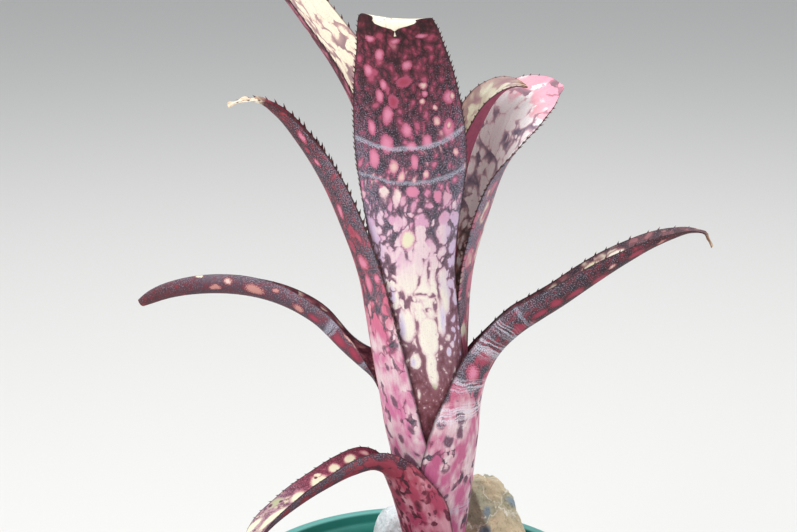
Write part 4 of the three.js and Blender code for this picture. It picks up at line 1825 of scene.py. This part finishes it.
ARCH_LEFT_INNER = LeafFinish(
    dry_from=229,
    zones=(
        Zone(0, 0.6, 0.5, 0.2, 0x7A4450, 0xC07884),
        Zone(160, 0.9, 0.8, 0.3, 0x7A5058, 0xD09CA0),
        Zone(205, 0.5, 0.1, 0.1, 0x5A1C28, 0xA84058),
        Zone(236, 0.3, 0.0, 0.1, 0x4A141C, 0xA03848),
    ),
)
CENTRE_OUTER = LeafFinish(
    streaks=0.2, ragged=0.6, halo=0.25, spread=0.2, cream=0xF6EEDF, scale_colour=0x9C9AAE, own_look=0.8,
    zones=(
        Zone(0, 0.0, 1.0, 0.1, 0x3A1016, 0xA04060),
        Zone(72, 0.0, 1.0, 0.15, 0x4E1A20, 0xB05070),
        Zone(84, 0.1, 1.0, 0.25, 0x6C3138, 0xC890A0),
        Zone(105, 0.2, 0.97, 0.4, 0x6E4148, 0xD8A8C0),
        Zone(116, 0.5, 0.97, 0.45, 0x6B424C, 0xE0A8C4),
        Zone(132, 0.72, 0.92, 0.6, 0x64424C, 0xE0A8C4),
        Zone(147, 0.7, 0.75, 0.8, 0x58404A, 0xDEA0BE),
        Zone(158, 0.66, 0.58, 1.0, 0x4A3C46, 0xDA94B6, 0.12),
        Zone(170, 0.52, 0.42, 1.0, 0x403440, 0xD88AAC, 0.14),
        Zone(182, 0.32, 0.36, 1.0, 0x382C36, 0xD07E9C, 0.18),
        Zone(200, 0.25, 0.2, 0.9, 0x331E28, 0xBC6080, 0.24),
        Zone(215, 0.27, 0.15, 0.6, 0x32121C, 0xB25472, 0.28),
        Zone(236, 0.34, 0.1, 0.3, 0x340C17, 0xB24A68, 0.3),
        Zone(247, 0.34, 0.1, 0.1, 0x30080F, 0xA8405A, 0.3),
        Zone(250, 0.1, 0.0, 0.0, 0x2A060C, 0x8A2C44, 0.28),
    ),
    bands=(Band(194.5, 1.3, 5.0, 0.75), Band(180.0, 1.1, 3.5, 0.65)),
    pools=ovals(
        (-5.6, 148.5, 2.2, 4.4), (-5.0, 118.5, 3.4, 8.0), (-8.6, 131.5, 1.5, 4.6), (-3.0, 139.0, 4.2, 8.5),
        (1.6, 146.0, 1.9, 6.5), (5.5, 133.5, 3.6, 14.0), (0.2, 124.0, 3.0, 6.0), (3.2, 113.0, 4.4, 9.5),
        (3.4, 99.0, 2.3, 9.5), (10.0, 120.0, 2.4, 8.5), (12.5, 129.0, 2.4, 8.5), (-3.2, 102.0, 2.3, 3.6),
        (-3.2, 87.9, 0.8, 1.9), (11.6, 104.0, 1.2, 2.0), (-17.7, 158.6, 1.8, 5.0),
    ),
    hollows=ovals(
        (-11.5, 143.0, 2.4, 6.5), (-9.5, 136.0, 2.0, 3.5), (5.9, 142.0, 0.7, 4.2), (-5.6, 129.0, 1.2, 4.0),
        (-5.0, 126.6, 2.4, 1.2), (-1.5, 128.6, 2.6, 0.6), (2.4, 131.2, 2.2, 0.5), (6.6, 130.4, 1.6, 1.1),
        (7.6, 126.0, 0.8, 3.0), (4.2, 124.6, 1.4, 0.7), (-0.9, 119.0, 0.6, 4.0), (-1.6, 110.0, 0.7, 4.0),
        (9.6, 133.0, 0.5, 5.0),
    ),
    washes=(Wash(140, 172, -0.2, 0xE6BCD4, 0.55), Wash(98, 166, 0.5, 0xD6C0E0, 0.8)),
    tinges=marks(
        Tint.LILAC, (-7.0, 117.5, 1.8, 6.5), (-9.8, 131.0, 1.3, 4.5), (10.6, 119.0, 1.7, 7.0),
        (-4.0, 101.6, 1.2, 2.4), (11.6, 104.0, 1.3, 2.2),
        Tint.GREEN, (3.2, 90.0, 1.2, 2.4),
    ),
    blotches=marks(
        Tint.PINK, (-13.4, 228.3, 1.9, 3.3), (-7.9, 235.4, 2.0, 2.6), (-8.2, 222.2, 1.7, 2.0),
        (-10.6, 218.0, 1.7, 2.8), (-7.8, 209.1, 2.3, 4.3), (-14.8, 204.1, 1.9, 3.5),
        (-9.2, 197.4, 2.5, 4.6), (-1.1, 202.4, 2.1, 2.8), (0.4, 195.4, 2.3, 2.4), (1.0, 188.6, 1.5, 3.2),
        (6.9, 197.0, 1.9, 2.6), (16.1, 201.0, 2.4, 4.8), (17.2, 213.1, 2.8, 3.1), (-15.1, 190.4, 2.3, 4.4),
        (0.0, 175.8, 2.7, 2.8), (9.9, 173.8, 1.7, 2.2), (2.0, 229.6, 2.2, 2.2), (-10.6, 242.6, 2.2, 1.6),
        (9.4, 242.4, 2.4, 1.4), (-1.0, 240.6, 2.0, 1.2),
        Tint.ROSE, (-5.0, 215.2, 2.1, 3.4), (0.0, 223.2, 3.2, 2.2),
        Tint.BLUSH, (16.4, 202.4, 1.0, 2.2), (18.6, 213.0, 1.3, 1.9), (7.3, 220.4, 1.8, 1.9),
        (11.3, 205.1, 1.4, 2.0), (11.1, 210.1, 0.8, 1.3), (-7.2, 187.6, 2.0, 3.0), (-4.0, 182.9, 1.5, 2.4),
        (18.6, 190.9, 1.3, 2.2), (5.7, 183.4, 1.3, 1.8),
        Tint.PINK, (7.6, 216.6, 1.4, 1.6),
        Tint.BLUSH, (6.3, 213.1, 1.4, 1.5),
        Tint.CREAM, (-2.1, 155.6, 3.0, 4.8),
    ),
)
CENTRE_INNER = LeafFinish(
    cream=0xF0E8CE,
    zones=(
        Zone(0, 0.8, 0.8, 0.1, 0x7A4850, 0xD0A0A8),
        Zone(200, 1.0, 1.0, 0.2, 0x8A5A60, 0xE0C0C0),
        Zone(260, 1.2, 1.0, 0.1, 0x9A7068, 0xE8D8C0),
    ),
)
BACK_RIGHT_OUTER = LeafFinish(
    scale_colour=0xA2A2B2, spot_size=(6.0, 14.0), middle_scales=0.8,
    zones=(
        Zone(0, 0.9, 0.2, 0.5, 0x54434C, 0xC4627E, 0.2, 0.2),
        Zone(90, 0.9, 0.25, 0.9, 0x50424C, 0xC86A84, 0.25, 0.3),
        Zone(118, 1.0, 0.4, 0.8, 0x54444E, 0xD67C94, 0.25, 0.2),
        Zone(140, 0.66, 0.3, 1.0, 0x5A5662, 0xD08098, 0.2),
        Zone(200, 0.45, 0.2, 1.0, 0x5C5A66, 0xC08090, 0.2),
        Zone(213, 0.45, 0.2, 0.9, 0x5A5460, 0xC08090, 0.2),
    ),
)
BACK_RIGHT_INNER = LeafFinish(
    cream=0xFFFCFA, spot_size=(5.6, 8.0), clear_margin=0.1, margin_width=0.03,
    zones=(
        Zone(0, 0.4, 0.2, 0.1, 0x2A1810, 0x7A5040),
        Zone(112, 0.5, 0.2, 0.1, 0x34221A, 0x8A5A4C),
        Zone(124, 0.62, 0.4, 0.1, 0x443428, 0xB08474, 0.15),
        Zone(138, 0.74, 0.8, 0.2, 0x5E504C, 0xE4B4AE, 0.2),
        Zone(152, 0.78, 0.95, 0.5, 0x7A7080, 0xF2D2D8, 0.2),
        Zone(192, 0.78, 0.9, 0.5, 0x7A7082, 0xF4CCD4, 0.2),
        Zone(203, 1.0, 0.5, 0.2, 0x84707E, 0xF4B8C2, 0.15),
        Zone(213, 1.3, 0.25, 0.2, 0x8A6A74, 0xF0A6B8, 0.2),
    ),
)
BACK_LEFT_OUTER = LeafFinish(
    middle_scales=0.4,
    zones=(
        Zone(0, 0.6, 0.2, 0.4, 0x4A2E38, 0xA84060, 0.2),
        Zone(150, 0.45, 0.2, 0.4, 0x481C2A, 0xA84060, 0.2),
        Zone(263, 0.5, 0.2, 0.2, 0x481824, 0xB05068, 0.2),
    ),
    washes=(Wash(150, 290, 0.6, 0xC77A90, 0.6),),
)
BACK_LEFT_INNER = LeafFinish(
    cream=0xF2EAD2, spot_size=(3.6, 11.0), clear_margin=0.1,
    zones=(
        Zone(0, 0.7, 0.8, 0.1, 0x5A3838, 0xB08888),
        Zone(180, 0.98, 0.95, 0.3, 0x94767A, 0xD8B0A8, 0.15),
        Zone(263, 1.0, 0.95, 0.3, 0x9A7E80, 0xDCB4B0, 0.15),
    ),
)
INNER_RIGHT_OUTER = LeafFinish(
    zones=(
        Zone(0, 0.2, 0.1, 0.1, 0x70283E, 0x9A4058),
        Zone(150, 0.15, 0.1, 0.15, 0x823250, 0xA04A60),
        Zone(205, 0.1, 0.1, 0.1, 0x8A3850, 0xA85068),
    ),
)
INNER_RIGHT_INNER = LeafFinish(
    cream=0xCDCAB4, spot_size=(5.0, 10.0), spread=0.3, dry_from=201, dry_shade=0.14,
    zones=(
        Zone(0, 0.4, 0.4, 0.1, 0x4A3C30, 0x8A7A68, 0.3),
        Zone(165, 0.8, 0.6, 0.1, 0x8E6A70, 0xA89A86, 0.4),
        Zone(192, 0.8, 0.6, 0.1, 0x946E78, 0xB6AA98, 0.4),
        Zone(205, 0.9, 0.8, 0.1, 0x90746E, 0xC4BAA6, 0.4),
    ),
    washes=(Wash(170, 215, 0.7, 0xA87078, 0.6),),
)

# The leaves, outermost first.
LEAVES = (
    Leaf(
        name="leaf_low_front", layer=0, azimuth=-52, sheath_top=54, release=12,
        blade=(
            (20.4, 0, 63), (25, 0, 73), (32, 0, 77.8), (43.5, 0, 78.8), (57.5, 0, 77.2), (73, 0, 73.8),
            (88.5, 0, 68), (100.5, 0, 58.8),
        ),
        half_width=Profile((
            (0, 19), (38, 21), (54, 21.5), (61, 22), (67, 20.5), (73, 18), (79, 15.5), (86, 13.8),
            (100, 12.4), (130, 10.2), (152, 6), (160, 1.2),
        )),
        cup=((12, 17), (30, 9.4), (60, 9.4), (100, 9.4)),
        twist=Profile(((0, 0), (14, 0), (40, 11), (100, 11))),
        spines=Spines(start=64, pitch=4.2, length=1.3),
        outer=LOW_FRONT_OUTER,
        inner=LOW_FRONT_INNER,
    ),
    Leaf(
        name="leaf_low_left", layer=1, azimuth=-150, sheath_top=96, release=22,
        blade=(
            (25.8, 9.8, 109), (28.5, 22.6, 119.6), (40.7, 31.8, 132.4), (51.1, 40, 138.8),
            (62.1, 48.5, 142.2), (73, 57, 143.2), (84.4, 65.9, 142.4), (96.2, 75.2, 139.8),
            (108, 84.3, 135),
        ),
        half_width=Profile((
            (0, 14), (60, 13), (82, 12), (98, 10.5), (112, 9.6), (125, 10.2), (150, 10.8), (188, 10.4),
            (212, 8.6), (225, 6.2), (232, 3.4),
        )),
        cup=((10, 12), (20, 6), (28, 4.4), (60, 4.6), (100, 4.4), (122, 3.6), (135, 3)),
        twist=Profile(((0, 0), (10, 2), (40, 22), (135, 20))),
        spines=Spines(start=124, pitch=6.0, length=1.0),
        outer=LOW_LEFT_OUTER,
        inner=LOW_LEFT_INNER,
    ),
    Leaf(
        name="leaf_low_right", layer=2, azimuth=85, sheath_top=94, release=26, crumple=0.9,
        blade=(
            (24.4, 0, 108), (32, 0, 121), (41.2, 0, 129.3), (49.8, 0, 134.8), (58.8, 0, 140.3),
            (68.2, 0, 146.6), (77.1, 0, 152.5), (87, 0, 158.6), (96.7, 0, 164), (105.4, 0, 167.7),
            (112.8, 0, 169.8), (118, 0, 169), (121.2, 0, 163),
        ),
        half_width=Profile((
            (0, 20), (60, 32), (75, 33), (90, 30.5), (105, 22.8), (120, 17), (135, 15.8), (150, 14.5),
            (185, 11.5), (210, 6.5), (222, 2.2), (230, 1),
        )),
        cup=((12, 19), (22, 14), (34, 10), (55, 8.4), (110, 7.4), (140, 6)),
        twist=Profile(((0, 0), (12, -2), (30, -8), (50, -10), (75, -4), (140, -2))),
        spines=Spines(start=92, pitch=5.6, length=1.7),
        outer=LOW_RIGHT_OUTER,
        inner=LOW_RIGHT_INNER,
    ),
    Leaf(
        name="leaf_arch_left", layer=3, azimuth=-80, sheath_top=102, release=40, crumple=1.4,
        blade=(
            (22.4, 0, 122), (24.2, 0, 143), (25.6, 0, 156.6), (28, 0, 167.7), (31.2, 0, 178.8),
            (38.4, 0, 200.2), (47, 0, 217.6), (55.8, 0, 230.7), (62.4, 0, 236.4), (67.8, 0, 236.9),
            (74, 0, 235.6),
        ),
        half_width=Profile((
            (0, 19), (60, 24.5), (90, 23.5), (115, 22.5), (148, 18), (180, 16.2), (210, 13), (231, 8),
            (240, 4), (252, 1),
        )),
        cup=((30, 22), (70, 17), (140, 9.5)),
        spines=Spines(start=118, pitch=3.9, length=2.5),
        outer=ARCH_LEFT_OUTER,
        inner=ARCH_LEFT_INNER,
    ),
    Leaf(
        name="leaf_centre", layer=4, azimuth=0, sheath_top=96, release=40, row_step=0.9,
        blade=(
            (19.2, -1, 120), (19.8, -2, 140), (21, -2.4, 160), (23, -1.8, 182), (26, -0.6, 207),
            (31, -1.1, 236), (37.4, -2.3, 257), (42, -3.1, 266.8), (45.6, -3.4, 270.2), (49, -3.5, 270.4),
            (51.4, -3.5, 268.2), (52, -3.5, 264.8),
        ),
        half_width=Profile((
            (0, 17), (60, 22), (110, 20.5), (140, 19.8), (165, 21.5), (190, 23.2), (215, 21), (233, 17.2),
            (243, 15.2), (247.4, 13.6), (249.4, 11.2), (251, 8.4), (253.6, 7.6), (254.6, 4.4), (255.4, 1.3),
            (258, 0.5),
        )),
        cup=((40, 18.8), (56, 19), (86, 26), (111, 44), (150, 48), (168, 60)),
        twist=Profile(((0, 0), (140, 0), (150, 0), (172, -8), (190, -8))),
        spines=Spines(start=112, pitch=2.4, length=1.6, half_base=0.55),
        outer=CENTRE_OUTER,
        inner=CENTRE_INNER,
    ),
    Leaf(
        name="leaf_back_right", layer=5, azimuth=100, sheath_top=92, release=40,
        blade=(
            (17.2, 0.6, 116), (19, 1.8, 134), (21.2, 2.6, 150), (24.2, 2.2, 163), (27.2, 1, 172.5),
            (30.8, 0, 183), (34.2, 0, 193), (39.2, 0, 208), (43.2, 0, 216.8), (49, 0, 223.6),
            (55, 0, 227.3), (61, 0, 229.4), (65, 0, 229.6),
        ),
        half_width=Profile((
            (0, 16), (60, 19.5), (85, 16), (102, 15.5), (130, 16), (155, 17.8), (172, 18.5), (186, 16.5),
            (197, 13), (205, 9), (210, 4.5), (213, 0.8),
        )),
        cup=((30, 16), (70, 15), (90, 15.5), (110, 17.5), (125, 22), (150, 30)),
        twist=Profile(((0, 0), (78, 0), (90, 1), (105, 9), (120, 26), (135, 42), (150, 45))),
        spines=Spines(start=108, pitch=2.8, length=1.9, splay=1.4),
        outer=BACK_RIGHT_OUTER,
        inner=BACK_RIGHT_INNER,
    ),
    Leaf(
        name="leaf_back_left", layer=6, azimuth=-118, sheath_top=90, release=40,
        blade=(
            (14.6, 0, 130), (16, 0, 170), (18.6, 0, 205), (23.2, 0, 226), (31, 0, 242), (41.8, 0, 257.5),
            (52.4, 0, 271.5), (62, 0, 283), (69, 0, 287.5), (75, 0, 286), (79, 0, 279.5),
        ),
        half_width=Profile((
            (0, 14), (60, 16.8), (150, 16.4), (185, 16.8), (215, 15), (240, 12.5), (252, 8), (263, 1),
        )),
        cup=((60, 15.6), (110, 16), (170, 16)),
        spines=Spines(start=110, pitch=4.5, length=1.9, half_base=0.6),
        outer=BACK_LEFT_OUTER,
        inner=BACK_LEFT_INNER,
    ),
    Leaf(
        name="leaf_inner_right", layer=7, azimuth=92, sheath_top=86, release=40,
        blade=(
            (13, 0, 120), (14.8, 0, 160), (19.4, 0, 192), (24.2, 0, 209.4), (29.8, 0, 221.2),
            (34.8, 0, 228.8), (39.6, 0, 232.8), (44, 0, 233.8), (48.6, 0, 232.4),
        ),
        half_width=Profile((
            (0, 12), (60, 14), (140, 14), (162, 13.6), (176, 11.2), (186, 5.4), (192, 0.8),
        )),
        cup=((60, 11), (110, 10), (150, 10)),
        twist=Profile(((0, 0), (80, 0), (92, 1), (120, 12), (150, 14))),
        spines=Spines(start=130, pitch=2.8, length=1.7, splay=2.2),
        outer=INNER_RIGHT_OUTER,
        inner=INNER_RIGHT_INNER,
    ),
)

WHITE_ROCK = StoneFinish("white_rock", 0xD8DEE0, 0xC8D0D2, 0xAEB8B8, 0xF2F4F4, 0.35, 0.4, 0.7)
PALE_ROCK = StoneFinish("pale_rock", 0xE4E4DC, 0xD8D0C0, 0xB8B8B0, 0xF6F6F2, 0.35, 0.4, 0.7)
TAN_ROCK = StoneFinish("tan_rock", 0xA8A48C, 0xD2BE9E, 0x83909A, 0xEDE8DC, 0.45, 0.7, 0.85)

STONES = (
    Stone(
        "rock_tan", (33, 33, 148), (20, 14, 30), 14, -14, 0.1, 3, TAN_ROCK, slot="rock", crags=1.4,
        facets=(
            ((0.4, 0.0, 0.915), 23.9), ((0.93, 0.1, 0.35), 16.6), ((0.8, -0.2, 0.6), 18.0),
            ((0.45, -0.8, 0.4), 11.5), ((-0.5, -0.85, 0.05), 10.0), ((0.1, -0.75, 0.65), 19.0),
            ((-0.3, 0.7, 0.65), 21.5), ((0.6, 0.8, 0.2), 12.5), ((-0.9, 0.1, 0.4), 18.5),
        ),
    ),
    Stone("stone_white", (-7, 30, 142), (13, 11, 20), -12, 8, 0.1, 11, WHITE_ROCK),
    Stone("stone_white_left", (-32, 40, 132), (9, 9, 10), 30, 0, 0.1, 23, WHITE_ROCK, subdivisions=5),
    Stone("stone_white_right", (56, 15, 135), (10, 9, 12), 15, 20, 0.12, 31, PALE_ROCK, subdivisions=5),
)


def main() -> None:
    """Builds every piece in order and reports it."""
    logging.basicConfig(level=logging.INFO, format="%(name)s %(message)s")
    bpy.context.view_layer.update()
    Studio().build()
    tube = Tube()
    pot = Pot()
    pot.build()
    for stone in STONES:
        stone.build()
    Soil().build(pot, tube, STONES)
    dress_node("stem", BarkFinish("stem_fibre", 0x4A3A24, 0x9A8558).material())
    horn = SpineFinish().material()
    for leaf in LEAVES:
        leaf.build(tube, horn)


if __name__ == "__main__":
    main()
